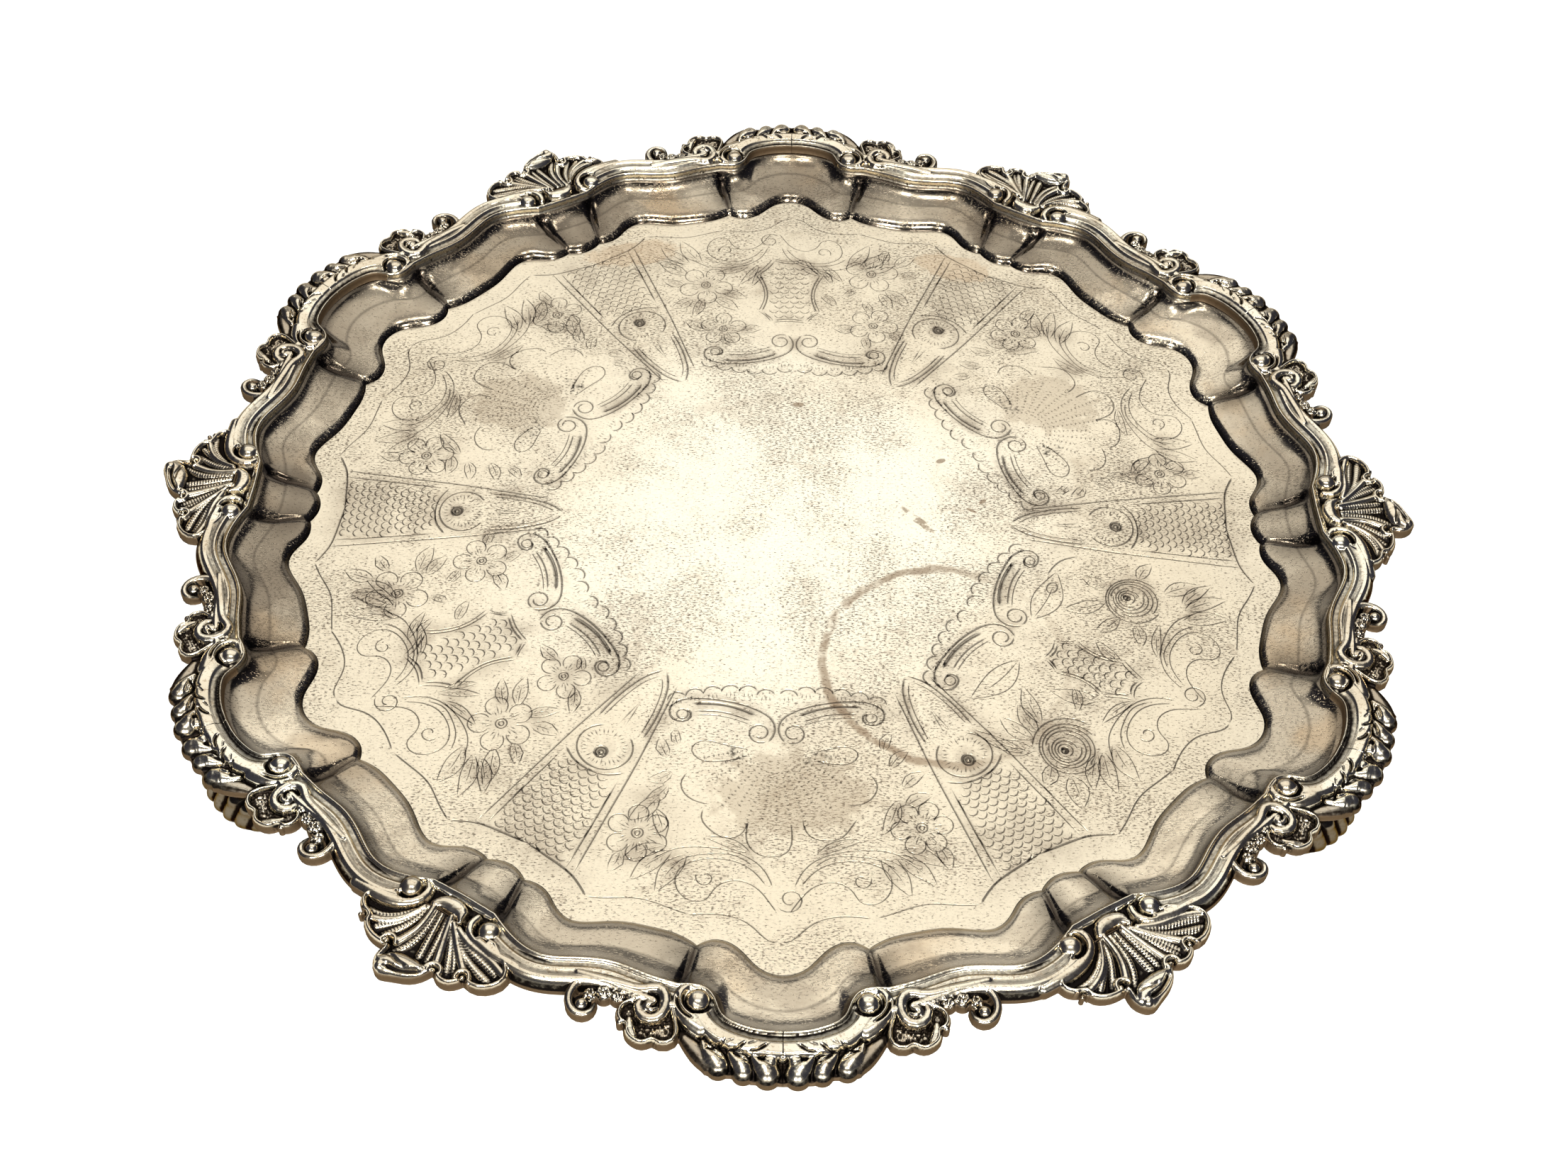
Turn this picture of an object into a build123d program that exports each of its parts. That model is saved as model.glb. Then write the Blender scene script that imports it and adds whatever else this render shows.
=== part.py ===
"""Round salver with a pie-crust dish, a cast shell-and-scroll border and three cast feet.

The dish is one raised plate. The border is six copies of one casting, butted together at
the middle of each arch. The three feet sit under every second arch.

Frame: millimetres, +Z up, origin on the ground under the middle of the dish. Arches point
to 30, 90, 150, 210, 270 and 330 degrees, and shells to 0, 60, 120, 180, 240 and 300.
"""
import os
from math import asin, cos, degrees, hypot, radians, sin

from build123d import *

os.makedirs("parts", exist_ok=True)

# ---- driving dimensions -------------------------------------------------------------------
sector_count = 6
sector_angle = 360 / sector_count
half_sector = sector_angle / 2

bead_plane = 33.0          # height of the plane through the volute eyes
well_depth = 11.0          # the well's upper face lies this far below the bead plane
plate_gauge = 1.2          # thickness of the sheet
wall_gauge = 1.5           # radial thickness of the bouge
break_share = 0.55         # the bouge steepens this share of the way from the well to the lip
break_rise = 0.42          # and at this share of its height
casting_depth = 4.0        # the castings' underside lies this far below the bead plane
flange_width = 5.0         # the sheet runs this far out under the castings
seam_gap = 0.04            # half the solder gap between two castings

foot_angles = {"foot_rear": 90.0, "foot_left": 210.0, "foot_right": 330.0}
toe_centre_radius = 162.0  # middle of the toe's oval plan
toe_half_width = 21.0
toe_half_depth = 13.2
leg_width = 20.0
pad_centre_radius = 133.0  # middle of the oval pad soldered under the well
pad_half_width = 17.0
pad_half_depth = 12.0
pad_thickness = 2.4
sole_inner = 160.0         # the flat that stands on the ground
sole_outer = 168.0
flute_count = 9
flute_radius = 1.1
flute_spread = 0.92        # the outermost flutes lie this share of the toe's half width out
pad_outer_share = 0.75     # the profile leaves the well's underside inside the pad's outer edge

# ---- derived heights ----------------------------------------------------------------------
well_top = bead_plane - well_depth
well_bottom = well_top - plate_gauge
flange_top = bead_plane - casting_depth
flange_bottom = flange_top - plate_gauge
bouge_break = well_top + break_rise * (flange_top - well_top)

# ---- outlines of one half sector ----------------------------------------------------------
# Each pair is the angle from the arch's middle line, in degrees, and the radius. The other
# half is its mirror image. The first list runs over the arch to the sharp crease beside it,
# the second from there to the crease beside the shell, the third over the shell.
lip_arch = [(0, 163.4), (2.0, 163.0), (3.6, 161.9), (4.9, 159.9), (5.5, 156.9), (6.5, 154.1), (9.0, 154.0)]
lip_side = [(9.0, 154.0), (12.0, 153.0), (15.0, 152.0), (18.2, 153.6), (21.4, 155.8), (24.2, 154.2), (26.6, 151.2)]
lip_shell = [(26.6, 151.2), (30, 150.7)]
well_arch = [(0, 145.0), (2.2, 143.3), (4.0, 139.2), (5.6, 137.0), (7.2, 137.0), (8.5, 138.9)]
well_side = [(8.5, 138.9), (10.4, 137.1), (13.5, 136.5), (16.8, 137.3), (19.3, 139.6), (21.5, 140.9),
             (23.2, 139.3), (24.8, 136.6), (26.3, 135.7), (27.7, 136.1)]
well_shell = [(27.7, 136.1), (28.8, 134.8), (30, 134.3)]
# back edge of the moulding, behind the applied lobes, leaves and shell
back_arch = [(0, 172.5), (3.0, 171.8), (6.0, 169.5), (9.0, 163.8)]
back_side = [(9.0, 163.8), (13.0, 161.8), (17.5, 161.8), (21.5, 163.8), (26.0, 165.0)]
back_shell = [(26.0, 165.0), (30, 165.0)]

# ---- applied ornament, as (x, y, radius) from the nearest arch or shell middle line --------
volute_eye = (19.5, 156.6, 2.8)
leaf_eye = (30.2, 158.8, 2.2)
gadroons = [(3.4, 173.6, 3.1), (8.8, 173.1, 2.7), (14.4, 171.9, 2.9), (19.0, 168.6, 2.6)]
leaf_lobes = [(26.8, 164.4, 3.6), (32.4, 163.8, 4.0), (35.2, 160.2, 3.0)]
hook = (45.9, 157.6, 3.4)
shell_eyes = [(-10.6, 155.9, 2.7), (12.4, 155.7, 2.8)]
shell_root = (0.6, 154.6, 2.1)
shell_scallops = [(-17.6, 165.2, 4.0), (-9.4, 168.8, 3.6), (-1.6, 169.4, 3.4), (5.2, 168.8, 3.2),
                  (12.0, 167.6, 3.8), (17.6, 163.8, 3.0)]
shell_tip = [(-0.6, 172.2, 3.9), (4.4, 174.1, 3.9)]
bead_rise = 0.3            # the volutes' eyes stand this far above the bead plane
moulding_step = 1.0        # the moulding's lip roll and volutes lie this far below the bead plane
lip_roll_width = 1.0
band_offset = 3.0          # from the lip to the moulding's broad band
band_width = 3.6
band_drop = 0.4
lobe_drop = 1.6            # gadroons, leaves and ribs have their edges this far below the bead plane
lobe_crest_drop = 0.4      # and their crests this far
dome_share = 0.8           # a lobe's dome has this share of the lobe's radius
volute_turn = 1.7          # width of the turn around a volute's eye
rib_root_width = 1.6


def polar(angle, radius, height=0.0):
    """A point at an angle from +Y, clockwise seen from above."""
    return Vector(radius * sin(radians(angle)), radius * cos(radians(angle)), height)


def run(pairs, middle, side, offset, height):
    """Points of one outline stretch beside the arch at the angle middle."""
    return [polar(middle + side * angle, radius + offset, height) for angle, radius in pairs]


def closed_outline(arch, side, shell, offset, height):
    """The outline all the way round, with a corner at every crease."""
    edges = []
    for sector in range(sector_count):
        middle = sector * sector_angle
        after = middle + sector_angle
        over_arch = run(arch[::-1], middle, -1, offset, height) + run(arch[1:], middle, 1, offset, height)
        over_shell = run(shell, middle, 1, offset, height) + run(shell[:-1][::-1], after, -1, offset, height)
        edges.append(Spline(*over_arch))
        edges.append(Spline(*run(side, middle, 1, offset, height)))
        edges.append(Spline(*over_shell))
        edges.append(Spline(*run(side[::-1], after, -1, offset, height)))
    return Wire(edges)


def middle_outline(share):
    """Three lists of pairs, part of the way from the well's outline to the lip's."""
    def mix(low, high):
        """Pairs of the well's list, moved out by a share of the way to the lip."""
        mixed = []
        for index, (angle, radius) in enumerate(low):
            place = index / (len(low) - 1) * (len(high) - 1)
            first = min(int(place), len(high) - 2)
            part = place - first
            lip_angle = high[first][0] + part * (high[first + 1][0] - high[first][0])
            lip_radius = high[first][1] + part * (high[first + 1][1] - high[first][1])
            mixed.append((angle + share * (lip_angle - angle), radius + share * (lip_radius - radius)))
        return mixed
    return mix(well_arch, lip_arch), mix(well_side, lip_side), mix(well_shell, lip_shell)


def dish_block(offset, floor_height, break_height, rim_height):
    """Solid block whose side follows the bouge."""
    sections = [
        closed_outline(well_arch, well_side, well_shell, offset, floor_height),
        closed_outline(*middle_outline(break_share), offset, break_height),
        closed_outline(lip_arch, lip_side, lip_shell, offset, rim_height),
    ]
    return Solid.make_loft(sections, ruled=True)


def strip(lip_offset, width, bottom, top):
    """Curved bar of one casting's length that keeps a constant distance from the lip."""
    inner = casting_line(lip_arch, lip_side, lip_shell, lip_offset, bottom)
    outer = casting_line(lip_arch, lip_side, lip_shell, lip_offset + width, bottom)
    return closed_bar(inner, outer, top - bottom)


def casting_line(arch, side, shell, offset, height):
    """Three joined curves from one seam of a casting over its shell to the other seam."""
    trim = degrees(seam_gap / arch[0][1])
    arch = [(max(angle, trim), radius) for angle, radius in arch]
    over_shell = run(shell, -half_sector, 1, offset, height)
    over_shell += run(shell[:-1][::-1], half_sector, -1, offset, height)
    return [
        Spline(*run(arch, -half_sector, 1, offset, height)),
        Spline(*run(side, -half_sector, 1, offset, height)),
        Spline(*over_shell),
        Spline(*run(side[::-1], half_sector, -1, offset, height)),
        Spline(*run(arch[::-1], half_sector, -1, offset, height)),
    ]


def closed_bar(inner, outer, height):
    """Bar between two lines of curves, extruded upwards."""
    first_end = Line(inner[0] @ 0, outer[0] @ 0)
    last_end = Line(inner[-1] @ 1, outer[-1] @ 1)
    face = Face(Wire(inner + [last_end] + outer + [first_end]))
    return extrude(face, amount=height, dir=(0, 0, 1))


def beside_arch(item, side):
    """Places an (x, y, radius) item beside one of the casting's two half arches."""
    across, outward, radius = item
    angle = degrees(asin(across / hypot(across, outward)))
    return polar(side * (half_sector - angle), hypot(across, outward)), radius


def dome(place, radius, top):
    """Round bead or lobe up to the height top, cut off flat at the casting's underside."""
    ball = Pos(place.X, place.Y, top - radius) * Sphere(radius)
    box_side = radius * 4
    return ball & (Pos(place.X, place.Y, flange_top + box_side / 2) * Box(box_side, box_side, box_side))


def boss(place, radius, top):
    """Upright round boss from the casting's underside to the height top."""
    return Pos(place.X, place.Y, (flange_top + top) / 2) * Cylinder(radius, top - flange_top)


def border_casting():
    """One sixth of the border, with its shell on +Y and half an arch at each end."""
    inner = casting_line(lip_arch, lip_side, lip_shell, 0.0, flange_top)
    outer = casting_line(back_arch, back_side, back_shell, 0.0, flange_top)
    body = closed_bar(inner, outer, casting_depth - moulding_step * 2)
    body += strip(0.0, lip_roll_width, flange_top, bead_plane - moulding_step)
    body += strip(band_offset, band_width, flange_top, bead_plane - band_drop)
    for side in (-1, 1):
        for item in gadroons + leaf_lobes + [hook]:
            place, radius = beside_arch(item, side)
            body += boss(place, radius, bead_plane - lobe_drop)
            body += dome(place, radius * dome_share, bead_plane - lobe_crest_drop)
        for item in (volute_eye, leaf_eye):
            place, radius = beside_arch(item, side)
            body += boss(place, radius + volute_turn, bead_plane - moulding_step)
            body += dome(place, radius, bead_plane + bead_rise)
    for across, outward, radius in shell_eyes + [shell_root]:
        place = Vector(across, outward)
        body += boss(place, radius + volute_turn / 2, bead_plane - moulding_step)
        body += dome(place, radius, bead_plane + bead_rise)
    for across, outward, radius in shell_scallops:
        body += shell_flute(across, outward, radius)
    for across, outward, radius in shell_tip:
        body += boss(Vector(across, outward), radius, bead_plane - lobe_drop)
        body += dome(Vector(across, outward), radius * dome_share, bead_plane - lobe_crest_drop)
    return body - seam_cut(-1) - seam_cut(1)


def shell_flute(across, outward, radius):
    """Tapered rib from the shell's root to one scallop of its edge."""
    root = Vector(shell_root[0], shell_root[1])
    tip = Vector(across, outward)
    turn = degrees(asin((tip - root).X / (tip - root).length))
    length = (tip - root).length
    corners = [(-rib_root_width / 2, 0), (rib_root_width / 2, 0), (radius, length), (-radius, length)]
    wedge = Rot(0, 0, -turn) * Polygon(*corners, align=None)
    rib = extrude(Pos(root.X, root.Y, flange_top) * wedge, amount=casting_depth - lobe_drop)
    return rib + boss(tip, radius, bead_plane - lobe_drop)


def seam_cut(side):
    """Block of space beyond one of a casting's two end faces."""
    block_width = 40
    middle = Pos(side * (block_width / 2 - seam_gap), toe_centre_radius, bead_plane)
    return Rot(0, 0, -side * half_sector) * middle * Box(block_width, block_width * 2, block_width)


def foot():
    """Shell-toed foot on +Y: pad under the well, S-shaped leg and an oval fluted toe."""
    pad_inner = pad_centre_radius - pad_half_depth
    pad_outer = pad_centre_radius + pad_half_depth * pad_outer_share
    toe_front = toe_centre_radius + toe_half_depth
    with BuildSketch(Plane.YZ) as profile:
        with BuildLine():
            top = Line((pad_inner, well_bottom), (pad_outer, well_bottom))
            upper = Spline(top @ 1, (150.0, 16.4), (158.0, 14.6), (166.0, 15.4), (172.5, 12.8),
                           (toe_front, 8.0), (172.5, 2.2), (sole_outer, 0.0))
            sole = Line(upper @ 1, (sole_inner, 0.0))
            lower = Spline(sole @ 1, (157.6, 3.0), (157.0, 7.0), (151.5, 10.6), (143.0, 13.6),
                           (134.0, 17.4), (pad_inner, well_bottom - pad_thickness))
            Line(lower @ 1, top @ 0)
        make_face()
    block = extrude(profile.sketch, amount=toe_half_width * 2, both=True)
    toe = Pos(0, toe_centre_radius) * Ellipse(toe_half_width, toe_half_depth)
    leg_length = toe_centre_radius - pad_centre_radius
    leg = Pos(0, pad_centre_radius + leg_length / 2) * Rectangle(leg_width, leg_length)
    pad = Pos(0, pad_centre_radius) * Ellipse(pad_half_width, pad_half_depth)
    plan = extrude(toe + leg + pad, amount=well_top)
    body = block & plan
    for index in range(flute_count):
        share = (index + 0.5) / flute_count * 2 - 1
        across = share * toe_half_width * flute_spread
        front = toe_centre_radius + toe_half_depth * (1 - (across / toe_half_width) ** 2) ** 0.5
        body -= Pos(across, front, well_top / 2) * Cylinder(flute_radius, well_top)
    return body


def raised_plate():
    """Well, bouge and the flange that carries the border."""
    block = dish_block(wall_gauge, well_bottom, bouge_break, flange_top)
    hollow = dish_block(0.0, well_top, bouge_break, flange_top)
    rim = Face(closed_outline(lip_arch, lip_side, lip_shell, flange_width, flange_bottom))
    hole = Face(closed_outline(lip_arch, lip_side, lip_shell, wall_gauge / 2, flange_bottom))
    flange = extrude(rim - hole, amount=plate_gauge, dir=(0, 0, 1))
    return block - hollow + flange


def write(node, part):
    """One STEP file per piece."""
    part.label = node
    export_step(part, f"parts/{node}.step")
    print(node, round(part.volume), "mm3, solids", len(part.solids()))


if __name__ == "__main__":
    write("raised_plate", raised_plate())
    casting = border_casting()
    for number in range(sector_count):
        write(f"border_casting_{number + 1}", Rot(0, 0, number * sector_angle - 90) * casting)
    pattern_foot = foot()
    for name, angle in foot_angles.items():
        write(name, Rot(0, 0, angle - 90) * pattern_foot)
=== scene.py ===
import math

import bpy
import numpy as np
from mathutils import Matrix, Vector
from mathutils.geometry import delaunay_2d_cdt
from mathutils.kdtree import KDTree


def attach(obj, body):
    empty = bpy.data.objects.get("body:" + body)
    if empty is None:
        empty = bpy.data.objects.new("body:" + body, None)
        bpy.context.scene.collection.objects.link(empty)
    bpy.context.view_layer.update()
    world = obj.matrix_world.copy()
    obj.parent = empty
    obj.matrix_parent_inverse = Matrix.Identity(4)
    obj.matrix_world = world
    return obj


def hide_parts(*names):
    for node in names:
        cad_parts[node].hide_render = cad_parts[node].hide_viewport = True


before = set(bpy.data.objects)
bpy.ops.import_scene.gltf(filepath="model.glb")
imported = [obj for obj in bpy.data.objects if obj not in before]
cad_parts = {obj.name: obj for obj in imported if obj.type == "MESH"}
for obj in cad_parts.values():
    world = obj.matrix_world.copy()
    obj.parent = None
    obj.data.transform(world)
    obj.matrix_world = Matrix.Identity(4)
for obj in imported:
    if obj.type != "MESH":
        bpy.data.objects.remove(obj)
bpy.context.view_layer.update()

# ---- sizes in millimetres, in the CAD's own terms --------------------------------------------
MM = 0.001
sector_angle = 60.0
half_sector = sector_angle / 2
bead_plane = 33.0
well_top = 22.0
plate_gauge = 1.2
flange_top = 29.0
flange_width = 5.0
casting_depth = 4.0
seam_gap = 0.04
middle_radius = 165  # of a casting, for its pitch round the salver
wall_radius = 157  # beyond it a casting's upright side faces outwards

# Outlines of half a sector: the angle from an arch's middle line and the radius.
lip_arch = [(0, 163.4), (2.0, 163.0), (3.6, 161.9), (4.9, 159.9), (5.5, 156.9), (6.5, 154.1),
            (9.0, 154.0)]
lip_side = [(9.0, 154.0), (12.0, 153.0), (15.0, 152.0), (18.2, 153.6), (21.4, 155.8), (24.2, 154.2),
            (26.6, 151.2)]
lip_shell = [(26.6, 151.2), (30, 150.7)]
well_arch = [(0, 145.0), (2.2, 143.3), (4.0, 139.2), (5.6, 137.0), (7.2, 137.0), (8.5, 138.9)]
well_side = [(8.5, 138.9), (10.4, 137.1), (13.5, 136.5), (16.8, 137.3), (19.3, 139.6),
             (21.5, 140.9), (23.2, 139.3), (24.8, 136.6), (26.3, 135.7), (27.7, 136.1)]
well_shell = [(27.7, 136.1), (28.8, 134.8), (30, 134.3)]


# ---- curves ----------------------------------------------------------------------------------
def polar(angle, radius):
    """Point at an angle from +Y, clockwise seen from above, in degrees and millimetres."""
    return radius * math.sin(math.radians(angle)), radius * math.cos(math.radians(angle))


def spline(points, count):
    """Natural cubic spline through the points, sampled evenly along its chord length."""
    points = np.array(points, float)
    chord = np.hypot(*np.diff(points, axis=0).T)
    knots = np.concatenate([[0], np.cumsum(chord)])
    size = len(points)
    matrix = np.eye(size)
    target = np.zeros((size, 2))
    for i in range(1, size - 1):
        matrix[i, i - 1:i + 2] = chord[i - 1], 2 * (chord[i - 1] + chord[i]), chord[i]
        target[i] = 6 * ((points[i + 1] - points[i]) / chord[i] - (points[i] - points[i - 1]) / chord[i - 1])
    bend = np.linalg.solve(matrix, target)
    place = np.linspace(0, knots[-1], count)
    span = np.clip(np.searchsorted(knots, place, side="right") - 1, 0, size - 2)
    after = ((place - knots[span]) / chord[span])[:, None]
    before = 1 - after
    square = (chord[span] ** 2)[:, None] / 6
    line = before * points[span] + after * points[span + 1]
    return line + square * ((before ** 3 - before) * bend[span] + (after ** 3 - after) * bend[span + 1])


def stretch(pairs, middle, side, count):
    """Smooth line through one list of an outline, beside the arch at the angle middle."""
    return spline([polar(middle + side * angle, radius) for angle, radius in pairs], count)


def ring(arch, side, shell, counts):
    """Outline all the way round, starting at the crease before the first arch."""
    parts = []
    for sector in range(6):
        middle = sector * sector_angle
        after = middle + sector_angle
        over_arch = [polar(middle - a, r) for a, r in arch[::-1]]
        over_arch += [polar(middle + a, r) for a, r in arch[1:]]
        over_shell = [polar(middle + a, r) for a, r in shell]
        over_shell += [polar(after - a, r) for a, r in shell[:-1][::-1]]
        parts.append(spline(over_arch, counts[0] + 1)[:-1])
        parts.append(stretch(side, middle, 1, counts[1] + 1)[:-1])
        parts.append(spline(over_shell, counts[2] + 1)[:-1])
        parts.append(stretch(side[::-1], after, -1, counts[1] + 1)[:-1])
    return np.concatenate(parts)


def smooth_step(low, high, value):
    """0 below low, 1 above high, and an even S between them."""
    share = np.clip((value - low) / (high - low), 0, 1)
    return share * share * (3 - 2 * share)


def bump(offset, width):
    """Round hill of height 1 at offset 0 that reaches 0 at plus and minus width."""
    return np.clip(1 - (offset / width) ** 2, 0, 1)


# ---- mesh making -----------------------------------------------------------------------------
def link(piece):
    """Puts an object into the scene."""
    bpy.context.scene.collection.objects.link(piece)
    return piece


def new_object(name, points, faces, fields):
    """Mesh object from millimetre points, with one number per vertex in each named field."""
    mesh = bpy.data.meshes.new(name)
    mesh.from_pydata((np.asarray(points) * MM).tolist(), [], faces)
    mesh.update()
    mesh.polygons.foreach_set("use_smooth", [True] * len(mesh.polygons))
    for key, values in fields.items():
        layer = mesh.attributes.new(key, "FLOAT", "POINT")
        layer.data.foreach_set("value", np.asarray(values, np.float32))
    return link(bpy.data.objects.new(name, mesh))


# ---- border casting --------------------------------------------------------------------------
cell = 0.22  # pitch of a casting's mesh
inner_radius = 149.6
outer_radius = 180.2

# Heights over the bead plane by the distance from the lip.
lip_start = [(-0.1, -2.6), (0.15, -1.6), (0.45, -1.15), (0.75, -1.2), (1.0, -1.6)]
lip_profile = lip_start + [(1.5, -1.85), (1.9, -1.8)]
moulding_profile = lip_start + [(1.6, -1.85), (2.3, -1.75), (2.75, -1.6), (3.0, -1.05), (3.3, -0.8), (3.7, -0.85),
                                (4.5, -0.95), (5.1, -0.75), (5.7, -0.4), (6.4, -0.3), (7.1, -0.75), (7.8, -1.6),
                                (8.4, -2.7), (8.8, -3.4)]


def casting_lip(count):
    """The lip's line over one casting, whose shell is on +Y."""
    arch = [polar(-half_sector + a, r) for a, r in lip_arch]
    shell = [polar(-half_sector + a, r) for a, r in lip_shell]
    shell += [polar(half_sector - a, r) for a, r in lip_shell[:-1][::-1]]
    return np.concatenate([
        spline([polar(-half_sector - a, r) for a, r in lip_arch[1:3][::-1]] + arch, count),
        stretch(lip_side, -half_sector, 1, count),
        spline(shell, count),
        stretch(lip_side[::-1], half_sector, -1, count),
        spline(([polar(half_sector + a, r) for a, r in lip_arch[1:3][::-1]]
                + [polar(half_sector - a, r) for a, r in lip_arch]), count),
    ])


def distance_from(line, x, y):
    """Distance of every point of a column-by-column grid, or of a flat list, from a line."""
    if x.ndim == 1:
        parts = np.array_split(np.arange(len(x)), max(1, len(x) // 500))
        return np.concatenate([
            np.hypot(x[part][:, None] - line[:, 0], y[part][:, None] - line[:, 1]).min(-1) for part in parts])
    angles = np.arctan2(line[:, 0], line[:, 1])
    result = np.empty_like(x)
    block, search_angle = 12, 0.075
    for start in range(0, len(x), block):
        xs, ys = x[start:start + block], y[start:start + block]
        middle = math.atan2(xs.mean(), ys.mean())
        near = line[np.abs(angles - middle) < search_angle]
        result[start:start + block] = np.hypot(xs[..., None] - near[:, 0], ys[..., None] - near[:, 1]).min(-1)
    return result


def grains(x, y, pitch, seed):
    """Rough pearled surface: round grains on a jittered square pattern, 0 to 1.

    The sines of large numbers are the usual repeatable noise, the same on every run.
    """
    column, row = np.floor(x / pitch), np.floor(y / pitch)
    best = np.full(x.shape, 9.0)
    for step_x in (-1, 0, 1):
        for step_y in (-1, 0, 1):
            cx, cy = column + step_x, row + step_y
            shift_x = np.modf(np.sin(cx * 127.1 + cy * 311.7 + seed) * 43758.5)[0] * 0.35
            shift_y = np.modf(np.sin(cx * 269.5 + cy * 183.3 + seed) * 43758.5)[0] * 0.35
            gap = np.hypot(x / pitch - cx - 0.5 - shift_x, y / pitch - cy - 0.5 - shift_y)
            best = np.minimum(best, gap)
    return np.sqrt(np.clip(1 - (best / 0.62) ** 2, 0, 1))


class Relief:
    """Heights of a casting over points, built up from overlapping forms."""

    def __init__(self, x, y):
        self.x, self.y = x, y
        self.height = np.full(x.shape, -casting_depth)
        self.inside = np.full(x.shape, -9.0)
        self.matting_and_wall_shade = np.zeros(x.shape)

    def add(self, inside, height, matting_and_wall_shade=0.0):
        """Lays a form on top. inside is the distance in from the form's own edge."""
        over = (inside > -0.03) & (height > self.height)
        self.height = np.where(over, height, self.height)
        self.matting_and_wall_shade = np.where(over, matting_and_wall_shade, self.matting_and_wall_shade)
        self.inside = np.maximum(self.inside, inside)

    def carve(self, amount):
        """Lowers the surface by an amount."""
        self.height = self.height - amount

    def gap(self, x0, y0):
        """Distance of every point from one place."""
        return np.hypot(self.x - x0, self.y - y0)


def rounded(inside, radius, drop):
    """How far a rounded edge lies under its form's top, by the distance in from the edge."""
    share = np.clip(1 - inside / radius, 0, 1)
    return drop * (1 - np.sqrt(1 - share ** 2))


def round_off(inside, size):
    """How far the surface of a round bar of a given radius lies under its crest."""
    return size - np.sqrt(np.clip(size ** 2 - (size - np.minimum(inside, size)) ** 2, 0, None))


def rolled(inside, middle, top):
    """Height of a rolled edge whose crest lies a distance in from the form's edge."""
    return top - 1.9 * np.clip(np.abs(inside - middle) / middle, 0, 1) ** 2.2


def beyond(w, gap):
    """Limit that keeps a form to the metal farther than a gap from the lip."""
    return np.where(w > gap, 9.0, -9.0)


def spread(values, shares):
    """Even spread of a few values over shares from 0 to 1."""
    return np.interp(shares, np.linspace(0, 1, len(values)), values)


def bar(x, y, path, radii):
    """Distance in from the edge of a round-ended bar along a path, its local radius and the share along it."""
    best = np.full(x.shape, -99.0)
    size = np.ones(x.shape)
    place = np.zeros(x.shape)
    count = len(path) - 1
    for index in range(count):
        (x0, y0), (x1, y1) = path[index], path[index + 1]
        r0, r1 = radii[index], radii[index + 1]
        along_x, along_y = x1 - x0, y1 - y0
        length_squared = along_x ** 2 + along_y ** 2 + 1e-9
        share = np.clip(((x - x0) * along_x + (y - y0) * along_y) / length_squared, 0, 1)
        radius = r0 + (r1 - r0) * share
        inside = radius - np.hypot(x - x0 - share * along_x, y - y0 - share * along_y)
        closer = inside > best
        best = np.where(closer, inside, best)
        size = np.where(closer, radius, size)
        place = np.where(closer, (index + share) / count, place)
    return best, size, place


def bend(points, steps=8):
    """Smooth path through a few points."""
    return [tuple(p) for p in spline(points, steps)]


def swept(relief, path, radii, crest, roundness=0.8, limit=9.0, steps=8, matting_and_wall_shade=0.0):
    """Lays a tapering round bar along a smooth path. radii and crest run from one end to the other."""
    inside, size, place = bar(relief.x, relief.y, bend(path, steps), spread(radii, np.linspace(0, 1, steps)))
    inside = np.minimum(inside, limit)
    top = spread(crest, place)
    drop = np.where(inside > 0, round_off(inside, size), size)
    relief.add(inside, top - roundness * drop, matting_and_wall_shade)


def groove(relief, path, width, depth, steps=8):
    """Cuts a rounded groove that tapers off at both ends."""
    inside, _, place = bar(relief.x, relief.y, bend(path, steps), np.full(steps, width))
    ease = np.clip(np.sin(math.pi * np.clip(place, 0.04, 0.96)) * 2, 0, 1)
    relief.carve(depth * ease * np.clip(inside / width, 0, 1) ** 0.7)


def ball(relief, x0, y0, radius, top, dome):
    """Low round bead: dome is its height over its edge."""
    inside = radius - relief.gap(x0, y0)
    share = np.clip(1 - inside / radius, 0, 1)
    relief.add(inside, np.where(inside > 0, top - dome * (1 - np.sqrt(1 - share ** 2 * 0.98)), top - dome))


def polar_shift(x, radius):
    """Point on a circle about the salver's middle, x millimetres from the seam."""
    return x, math.sqrt(radius ** 2 - x ** 2)


# Path, radii and crest heights of the flame lobes beside an arch.
flame_lobes = [
    ([(6.6, 169.4), (5.4, 171.0), (3.9, 172.6), (3.4, 173.7)], [0.8, 1.8, 2.9, 3.1], [-1.2, -0.7, -0.25, -0.5]),
    ([(12.0, 168.4), (10.7, 170.2), (9.2, 172.0), (8.8, 173.2)], [0.6, 1.5, 2.35, 2.65], [-1.3, -0.9, -0.5, -0.8]),
    ([(18.0, 166.6), (16.8, 168.8), (15.0, 170.9), (14.4, 171.9)], [0.6, 1.6, 2.6, 2.85], [-1.4, -1.0, -0.6, -0.9]),
]
# Radius of the matted skirt's edge by the distance from the seam, and the leaf band's height by that from the lip.
skirt_edge = [(0, 175.9), (7, 175.7), (11.6, 174.6), (15, 174.8), (17.5, 174.3), (20.5, 171.0), (23, 168.2),
              (25, 166.0)]
band_profile = [(1.0, -2.2), (1.3, -1.9), (2.0, -1.6), (2.6, -1.35), (3.0, -1.15), (3.3, -0.8), (3.7, -0.62),
                (4.6, -0.42), (5.6, -0.28), (6.2, -0.35), (6.8, -0.9), (7.6, -2.0)]


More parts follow.
